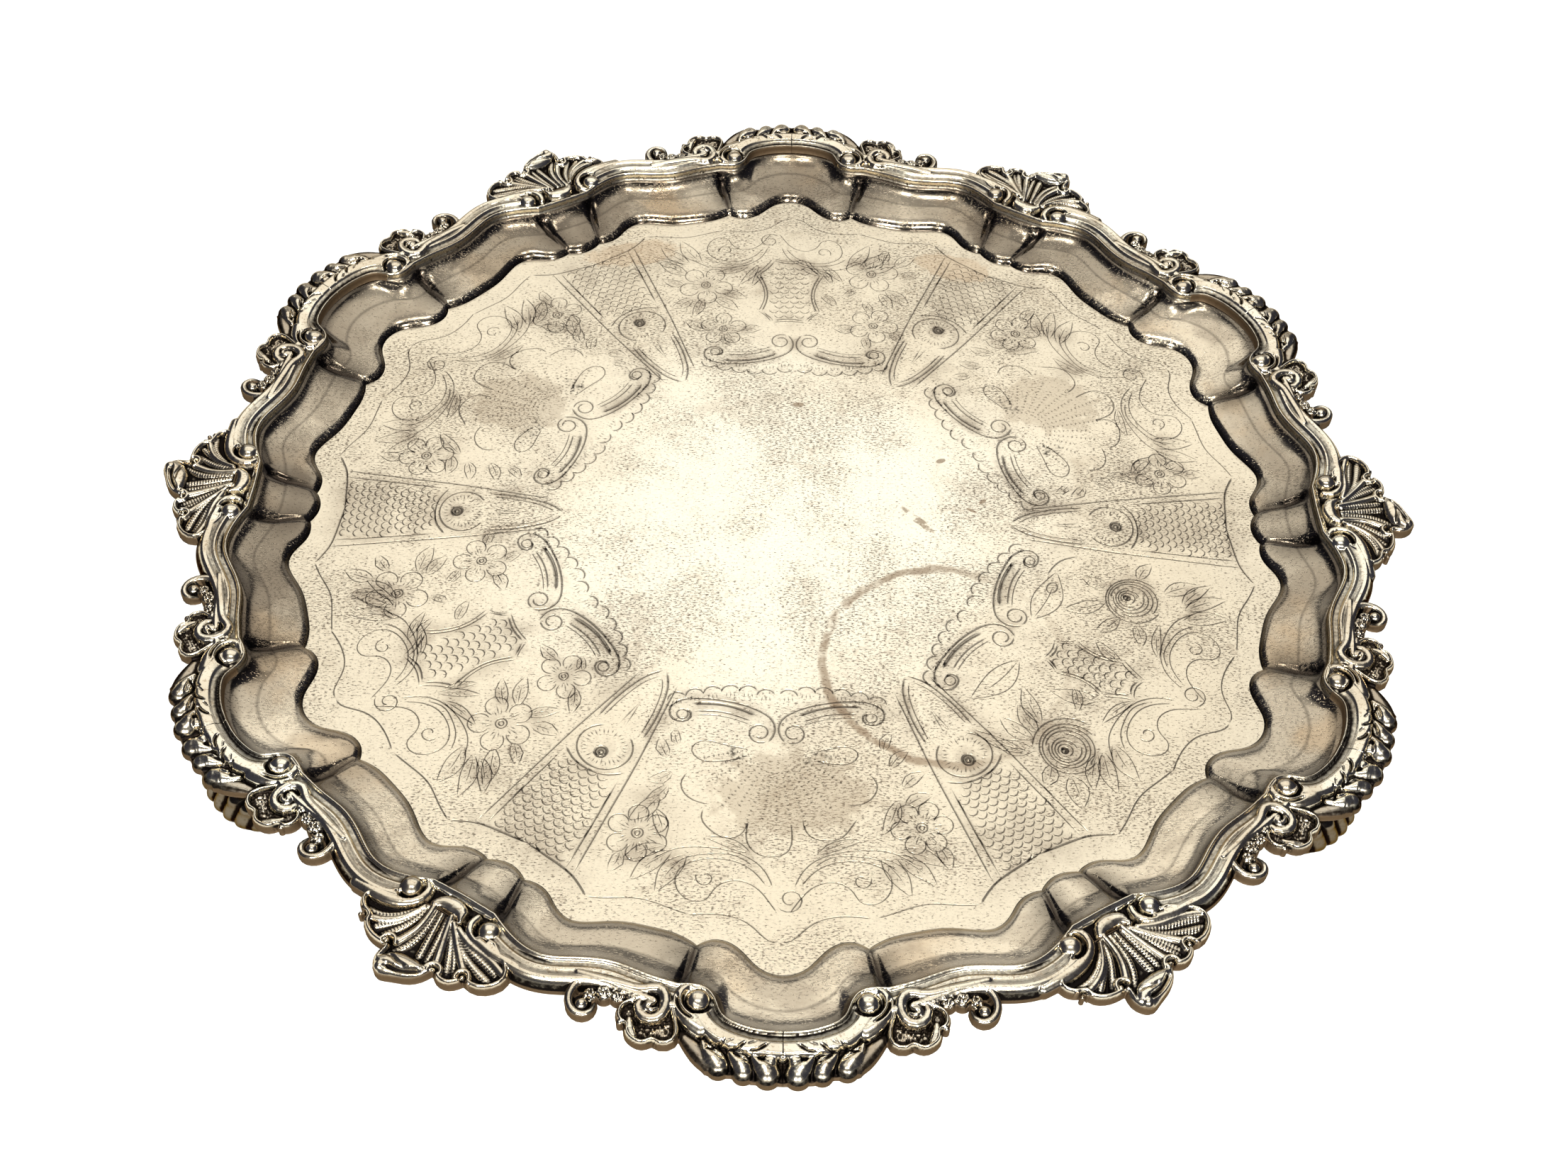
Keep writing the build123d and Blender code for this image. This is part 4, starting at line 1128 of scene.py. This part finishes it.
def foot_mesh(name):
    """Shell-toed foot on +Y with nine ribs that run down the toe."""
    rows, across, top = 46, 91, 20.8
    front = spline(foot_front, rows)
    share_front = np.linspace(0, 1, rows)
    chord = np.concatenate([[0], np.cumsum(np.hypot(*np.diff(np.array(foot_front), axis=0).T))])
    back_y, back_z, half = (np.interp(share_front, chord / chord[-1], values)
                            for values in (*zip(*foot_back), foot_half))
    toe = smooth_step(0.36, 0.55, share_front)
    u = np.linspace(-1, 1, across)
    setback = 1 - np.sqrt(np.clip(1 - (u * 0.985) ** 2, 0, 1))
    wave = np.abs(np.cos(u * 4.5 * math.pi))
    points, faces, field = [], [], []
    for row in range(rows):
        rib = (1 - np.sqrt(np.clip(1 - wave ** 2 * 0.96, 0, 1))) * -1.3 * toe[row] * (1 - u ** 4)
        rim = 0.7 * bump(share_front[row] - 0.62, 0.05)
        drop = setback * (11.5 * toe[row] + 2.0 * (1 - toe[row]))
        y = np.maximum(front[row, 0] - drop + rib + rim * 0.6, back_y[row] + 0.6)
        z = np.full(across, front[row, 1]) - setback * 1.5 * (1 - toe[row]) + rim * 0.5
        points.append(np.column_stack([u * half[row], y, np.clip(z, 0, top)]))
        # Flute valleys and the back are darker from tarnish and painted shade.
        field.append(np.clip(wave ** 6 * toe[row], 0, 1))
    for row in range(rows):
        y = np.full(across, back_y[row]) + 1.2 * u ** 2
        points.append(np.column_stack([u * half[row], y, np.full(across, min(max(back_z[row], 0), top))]))
        field.append(np.full(across, 0.3))
    size = rows * across
    for row in range(rows - 1):
        for i in range(across - 1):
            a = row * across + i
            faces.append([a, a + across, a + across + 1, a + 1])
            b = a + size
            faces.append([b, b + 1, b + across + 1, b + across])
    for row in range(rows - 1):
        for edge, flip in ((0, False), (across - 1, True)):
            a = row * across + edge
            quad = [a, a + size, a + size + across, a + across]
            faces.append(quad[::-1] if flip else quad)
    last = (rows - 1) * across
    for i in range(across - 1):
        faces.append([last + i, last + size + i, last + size + i + 1, last + i + 1])
        faces.append([i, i + 1, i + 1 + size, i + size])
    return new_object(name, np.concatenate(points), faces, {"tarnish_and_shade": np.concatenate(field)})


# ---- materials -------------------------------------------------------------------------------
class Surface:
    """Short hand for building one procedural metal."""

    def __init__(self, name):
        self.material = bpy.data.materials.new(name)
        self.material.use_nodes = True
        self.nodes = self.material.node_tree.nodes
        self.links = self.material.node_tree.links
        self.shader = self.nodes["Principled BSDF"]
        self.shader.inputs["Metallic"].default_value = 1.0
        self.place = self.nodes.new("ShaderNodeTexCoord").outputs["Object"]

    def node(self, kind, **sockets):
        """New node of a kind with its named input sockets filled."""
        node = self.nodes.new("ShaderNode" + kind)
        for name, value in sockets.items():
            self.feed(node.inputs[name.replace("_", " ")], value)
        return node

    def feed(self, socket, value):
        """Sets a socket to a number or links it to another node."""
        if isinstance(value, (int, float, tuple)):
            socket.default_value = value
        else:
            self.links.new(value, socket)

    def math(self, operation, *values, clamp=False):
        """Result of a sum on numbers or other nodes' outputs."""
        node = self.nodes.new("ShaderNodeMath")
        node.operation = operation
        node.use_clamp = clamp
        for socket, value in zip(node.inputs, values):
            self.feed(socket, value)
        return node.outputs[0]

    def times(self, first, second):
        return self.math("MULTIPLY", first, second)

    def most(self, first, *others):
        """The largest of several values."""
        for other in others:
            first = self.math("MAXIMUM", first, other)
        return first

    def vector(self, operation, *values):
        """Length of a vector, or the distance between two."""
        node = self.nodes.new("ShaderNodeVectorMath")
        node.operation = operation
        for socket, value in zip(node.inputs, values):
            self.feed(socket, value)
        return node.outputs["Value"]

    def stretched(self, size, turn=0.0, shift=(0, 0, 0)):
        """The object's coordinates, moved, turned and scaled."""
        return self.node("Mapping", Scale=size, Rotation=(0, 0, turn), Location=shift, Vector=self.place).outputs[0]

    def noise(self, scale, detail=2.0, rough=0.5, place=None, bend=0.0):
        return self.node("TexNoise", Vector=place or self.place, Scale=scale, Detail=detail, Roughness=rough,
                         Distortion=bend).outputs[0]

    def step(self, value, low, high):
        """Smooth rise from 0 to 1 as the value goes from low to high."""
        node = self.node("MapRange", Value=value, From_Min=low, From_Max=high)
        node.interpolation_type = "SMOOTHSTEP"
        return node.outputs[0]

    def ragged(self, scale, detail, rough, low, high, place=None, bend=0.0):
        """Cloudy areas of a noise, 1 inside and 0 outside."""
        return self.step(self.noise(scale, detail, rough, place, bend), low, high)

    def field(self, name):
        node = self.nodes.new("ShaderNodeAttribute")
        node.attribute_name = name
        return node.outputs["Fac"]

    def blend(self, share, first, second):
        node = self.nodes.new("ShaderNodeMix")
        node.data_type = "RGBA"
        for index, value in ((0, share), (6, first), (7, second)):
            self.feed(node.inputs[index], value)
        return node.outputs[2]

    def stain(self, tint, where, amount, red, green, blue):
        """The tint with a share of a darker colour over it where the mask says."""
        return self.blend(self.times(where, amount), tint, (red, green, blue, 1))

    def spot(self, x, y, long, short, turn, rag=0.35):
        """A ragged oval patch at a place in millimetres, 1 inside and 0 outside."""
        away = self.node("Mapping", Location=(x * MM, y * MM, 0), Rotation=(0, 0, math.radians(turn)),
                         Scale=(long * MM, short * MM, 10), Vector=self.place)
        away.vector_type = "TEXTURE"
        rough_edge = self.math("MULTIPLY_ADD", self.noise(260.0, 3.0, 0.6), rag * 2, -rag)
        return self.step(self.math("ADD", self.vector("LENGTH", away.outputs[0]), rough_edge), 1.1, 0.85)

    def spots(self, rows, rag=0.35):
        """Several patches together; a row is x, y, long, short and turn."""
        return self.most(*(self.spot(*row, rag) for row in rows))

    def finish(self, colour, roughness, height, strength):
        """Joins the metal's colour, roughness and fine bumps to its shader."""
        bumps = self.node("Bump", Strength=strength, Distance=0.00012, Height=height)
        self.feed(self.shader.inputs["Base Color"], colour)
        self.feed(self.shader.inputs["Roughness"], roughness)
        self.feed(self.shader.inputs["Normal"], bumps.outputs[0])
        return self.material


# bright_silver and warm_silver also give the well its painted light falloff.
bright_silver = (0.92, 0.85, 0.665, 1)
warm_silver = (0.70, 0.60, 0.425, 1)
brown_tarnish = (0.30, 0.20, 0.11, 1)
# Black for the hollows: tarnish and painted shade.
tarnish_and_shade_black = (0.009, 0.007, 0.006, 1)


def water_ring(s):
    """Broken ring that a wet foot left on the well."""
    from_middle = s.vector("DISTANCE", s.stretched((1, 1, 0)), (0.0430, -0.0510, 0))
    wobble = s.times(s.math("SUBTRACT", s.noise(70.0, 4.0, 0.7), 0.5), 0.006)
    off_ring = s.math("ABSOLUTE", s.math("SUBTRACT", s.math("ADD", from_middle, wobble), 0.033))
    across, along, _ = s.node("SeparateXYZ", Vector=s.place).outputs
    faded = s.times(s.math("ADD", s.step(across, 0.066, 0.030), 0.22, clamp=True),
                    s.math("ADD", s.step(along, -0.094, -0.076), 0.30, clamp=True))
    line = s.times(s.step(off_ring, 0.0017, 0.0006), s.ragged(90.0, 3.0, 0.7, 0.30, 0.54))
    return s.times(line, faded)


def plate_silver():
    """Worn plate: satin speckled well, a glossier bouge, dark cuts and water marks, with painted light that falls off
    towards the edge and painted shade on the bouge.
    """
    s = Surface("plate_silver")
    cut, bouge = s.field("cut"), s.field("bouge")
    cloud = s.noise(14.0, 4.0, 0.55, bend=0.4)
    patch = s.noise(38.0, 5.0, 0.62, bend=0.8)
    grain = s.noise(1500.0, 2.0, 0.6, s.stretched((0.7, 1.2, 1.0)))

    # Painted light: brightest in the middle and falling off warmer and darker towards the edge, with fine scratches and
    # flecks that crowd together in places.
    from_middle = s.vector("LENGTH", s.stretched((1, 1, 0)))
    outer = s.step(s.math("ADD", from_middle, s.times(cloud, 0.05)), 0.055, 0.125)
    tint = s.blend(s.times(outer, 0.75), bright_silver, warm_silver)
    tint = s.stain(tint, s.step(cloud, 0.50, 0.72), 0.45, *warm_silver[:3])
    tint = s.stain(tint, s.step(patch, 0.58, 0.78), 0.30, *brown_tarnish[:3])
    tint = s.stain(tint, s.step(grain, 0.46, 0.72), 0.30, 0.45, 0.36, 0.25)
    crowd = s.ragged(34.0, 4.0, 0.65, 0.38, 0.62)
    mottle = s.ragged(420.0, 4.0, 0.7, 0.50, 0.66, s.stretched((0.8, 1.2, 1.0)))
    tint = s.stain(tint, s.times(mottle, crowd), 0.34, 0.34, 0.26, 0.17)
    worked = s.times(s.field("worked"), s.ragged(60.0, 4.0, 0.65, 0.30, 0.62))
    tint = s.stain(tint, worked, 0.60, 0.27, 0.21, 0.145)
    dash = s.noise(1500.0, 3.0, 0.6, s.stretched((0.65, 1.6, 1.0), 0.03))
    limit = s.math("SUBTRACT", 0.60, s.times(crowd, 0.09))
    dark_dash = s.step(dash, limit, s.math("ADD", limit, 0.10))
    tint = s.stain(tint, dark_dash, s.math("SUBTRACT", 0.76, s.times(bouge, 0.60)), 0.13, 0.095, 0.065)

    # The bouge: darker overall, with painted shade on its far, left and right sides and beside its creases, the well
    # and the lip.
    tint = s.stain(tint, bouge, 0.30, 0.52, 0.42, 0.29)
    sideways, backwards, _ = s.node("SeparateXYZ", Vector=s.place).outputs
    painted_side_shade = s.most(s.step(sideways, -0.060, -0.150), s.step(backwards, 0.070, 0.150),
                       s.times(s.step(sideways, 0.090, 0.150), 0.85))
    painted_side_shade = s.times(s.times(painted_side_shade, bouge), s.ragged(22.0, 4.0, 0.6, 0.24, 0.54, bend=0.6))
    tint = s.stain(tint, painted_side_shade, 0.66, 0.13, 0.10, 0.068)
    golden = s.times(bouge, s.ragged(31.0, 3.0, 0.55, 0.50, 0.64, s.stretched((1, 1, 1), 0, (0.3, 0, 0))))
    tint = s.stain(tint, golden, 0.30, 0.46, 0.29, 0.13)
    grime = s.times(bouge, s.ragged(26.0, 4.0, 0.6, 0.48, 0.62, s.stretched((1, 1, 1), 0, (0, 0.4, 0)), 0.5))
    tint = s.stain(tint, grime, 0.45, 0.20, 0.155, 0.105)
    # Painted shade beside the creases and the bouge's edges.
    crease_and_edge_shade = s.times(s.field("crease_and_edge_shade"), s.ragged(52.0, 4.0, 0.62, 0.20, 0.56, bend=0.5))
    tint = s.stain(tint, crease_and_edge_shade, 0.92, 0.045, 0.034, 0.024)
    # Painted shade in patches on the far, far-left, far-right and left parts of the bouge.
    painted_shade_patches = s.spots([(0, 151, 21, 9, 0), (-82, 121, 34, 13, 34), (86, 118, 34, 13, -36), (-146, -20, 34, 13, 80)], 0.5)
    tint = s.stain(tint, s.times(painted_shade_patches, bouge), 0.52, 0.13, 0.10, 0.068)

    # Marks at fixed places, and last the blackened cuts, whose field also lays painted shade in the bouge's creases,
    # along the well's edge and on the step line.
    haze = s.spots([(-52, 116, 15, 6, 14), (54, 113, 13, 6, -16)], 0.5)
    tint = s.stain(tint, haze, 0.40, 0.50, 0.34, 0.19)
    streak = s.times(s.spot(37.8, 0.6, 6.4, 1.3, -48, 0.5), s.ragged(300.0, 3.0, 0.7, 0.40, 0.56))
    marks = s.most(water_ring(s), streak, s.spot(45.6, 24.6, 1.5, 0.9, 20), s.spot(57.0, 8.5, 1.3, 0.7, 40),
                   s.spot(53.5, 5.0, 1.8, 0.5, -30), s.spot(3.0, 47.0, 1.6, 0.9, 0))
    shade = s.spots([(2, -94, 19, 13, 0), (80, 50, 15, 12, 0), (-82, 45, 15, 12, 0)], 0.6)
    tint = s.stain(tint, shade, 0.38, 0.34, 0.26, 0.17)
    tint = s.stain(tint, marks, 0.70, 0.34, 0.24, 0.15)
    tint = s.stain(tint, cut, 0.94, 0.030, 0.022, 0.016)

    gloss = s.math("MULTIPLY_ADD", patch, 0.16, 0.22)
    gloss = s.math("SUBTRACT", gloss, s.times(bouge, 0.14))
    gloss = s.math("ADD", gloss, s.times(dark_dash, 0.15), clamp=True)
    gloss = s.math("ADD", gloss, s.times(marks, 0.25), clamp=True)
    height = s.math("ADD", s.times(dark_dash, -0.5), s.times(grain, 0.35))
    height = s.math("ADD", height, s.times(cloud, 6.0))
    return s.finish(tint, gloss, height, 0.5)


def relief_silver(name, painted_shade=0.0):
    """Cast silver: bright on the high places, painted shade in brown on the walls, black in the hollows from tarnish
    and painted shade, and an optional painted shade over the whole piece.
    """
    s = Surface(name)
    tarnish_and_shade, matting_and_wall_shade = s.field("tarnish_and_shade"), s.field("matting_and_wall_shade")
    cloud = s.noise(45.0, 4.0, 0.6, bend=0.6)
    fine = s.noise(900.0, 3.0, 0.6)
    rag = s.times(s.math("SUBTRACT", fine, 0.5), 0.5)
    # Hollows go black from tarnish and painted shade.
    hollow_tarnish_and_shade = s.step(s.math("ADD", tarnish_and_shade, rag), 0.20, 0.78)
    # Painted shade on the upright walls, in brown.
    wall = s.step(matting_and_wall_shade, 0.9, 1.5)
    tint = s.blend(s.step(cloud, 0.36, 0.62), (0.80, 0.73, 0.56, 1), (0.62, 0.53, 0.38, 1))
    tint = s.stain(tint, s.ragged(1100.0, 3.0, 0.65, 0.54, 0.66), 0.55, *brown_tarnish[:3])
    tint = s.stain(tint, s.math("MINIMUM", matting_and_wall_shade, 1.0), 0.55, 0.20, 0.15, 0.10)
    # Optional painted shade over the whole piece.
    tint = s.blend(painted_shade, tint, (0.065, 0.045, 0.027, 1))
    tint = s.blend(hollow_tarnish_and_shade, tint, tarnish_and_shade_black)
    tint = s.stain(tint, wall, 0.85, 0.17, 0.115, 0.065)
    s.shader.inputs["Specular Tint"].default_value = (0.42, 0.35, 0.28, 1)
    gloss = s.math("MULTIPLY_ADD", cloud, 0.14, 0.13)
    gloss = s.math("ADD", gloss, s.times(hollow_tarnish_and_shade, 0.25), clamp=True)
    gloss = s.math("ADD", gloss, s.times(wall, 0.25), clamp=True)
    height = s.math("ADD", s.times(fine, 0.5), s.times(cloud, 3.0))
    return s.finish(tint, gloss, height, 0.35)


# ---- the pieces ------------------------------------------------------------------------------
cast_silver = relief_silver("cast_silver")
pattern = casting_mesh("border_pattern")
pattern.data.materials.append(cast_silver)
for number in range(6):
    mesh = pattern.data.copy()
    mesh.transform(Matrix.Rotation(math.radians(number * sector_angle - 90), 4, "Z"))
    casting = link(bpy.data.objects.new(f"border_relief_{number + 1}", mesh))
    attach(casting, "root")
    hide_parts(f"border_casting_{number + 1}")
bpy.data.objects.remove(pattern)

plate = plate_mesh("salver_plate")
plate.data.materials.append(plate_silver())
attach(plate, "root")
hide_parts("raised_plate")

# The feet are darkened all over as painted shade.
foot_silver = relief_silver("foot_silver", 0.88)
foot_pattern = foot_mesh("foot")
foot_pattern.data.materials.append(foot_silver)
for node, angle in (("foot_rear", 90), ("foot_left", 210), ("foot_right", 330)):
    mesh = foot_pattern.data.copy()
    mesh.transform(Matrix.Rotation(math.radians(angle - 90), 4, "Z"))
    foot = link(bpy.data.objects.new(node + "_form", mesh))
    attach(foot, "root")
    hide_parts(node)
bpy.data.objects.remove(foot_pattern)

# ---- stage, light and camera -----------------------------------------------------------------
floor_mesh = bpy.data.meshes.new("floor")
floor_mesh.from_pydata([(-4, -4, 0), (4, -4, 0), (4, 4, 0), (-4, 4, 0)], [], [(0, 1, 2, 3)])
floor = link(bpy.data.objects.new("floor", floor_mesh))
paper = bpy.data.materials.new("paper")
paper.use_nodes = True
paper_shader = paper.node_tree.nodes["Principled BSDF"]
paper_shader.inputs["Base Color"].default_value = (0.60, 0.60, 0.60, 1)
paper_shader.inputs["Roughness"].default_value = 1.0
paper_shader.inputs["Emission Color"].default_value = (0.98, 1.0, 0.94, 1)
paper_shader.inputs["Emission Strength"].default_value = 0.70
floor_mesh.materials.append(paper)

world = bpy.data.worlds.new("studio")
bpy.context.scene.world = world
world.use_nodes = True
sky = world.node_tree.nodes["Background"]
sky.inputs["Color"].default_value = (0.55, 0.6, 1.0, 1)
sky.inputs["Strength"].default_value = 0.06


def area_light(name, elevation, azimuth, distance, width, height, radiance):
    """Flat lamp that faces the salver: degrees and metres, with the azimuth clockwise from +Y."""
    lamp = bpy.data.lights.new(name, "AREA")
    lamp.shape = "RECTANGLE"
    lamp.size = width
    lamp.size_y = height
    lamp.energy = math.pi * width * height * radiance
    flat = distance * math.cos(math.radians(elevation))
    place = Vector((*polar(azimuth, flat), distance * math.sin(math.radians(elevation))))
    lamp_object = link(bpy.data.objects.new(name, lamp))
    lamp_object.location = place
    lamp_object.rotation_euler = (-place).to_track_quat("-Z", "Y").to_euler()


area_light("main_softbox", 50, 0, 1.8, 1.85, 1.3, 1.45)
area_light("overhead_panel", 86, 0, 1.8, 1.3, 1.1, 0.66)
area_light("back_panel", 12, 0, 2.2, 2.6, 0.8, 0.62)
area_light("ceiling_lamp_left", 83.5, 270, 1.8, 0.20, 0.20, 24)
area_light("ceiling_lamp_right", 83.5, 90, 1.8, 0.20, 0.20, 24)
area_light("left_lamp", 45, 199, 1.05, 0.12, 0.12, 150)
area_light("right_lamp", 45, 161, 1.05, 0.12, 0.12, 150)

camera_data = bpy.data.cameras.new("camera")
camera_data.lens = 40.46
camera_data.sensor_width = 36
camera_data.clip_start = 0.01
camera = bpy.data.objects.new("camera", camera_data)
forward = Vector((0.01488, 0.63973, -0.76845)).normalized()
right = Vector((0.99961, 0.00851, 0.02644)).normalized()
up = right.cross(forward)
axes = Matrix((right, up, -forward)).transposed().to_4x4()
camera.matrix_world = Matrix.Translation((-0.00805, -0.34077, 0.40004)) @ axes
link(camera)
bpy.context.scene.camera = camera
bpy.context.scene.view_settings.view_transform = "Standard"
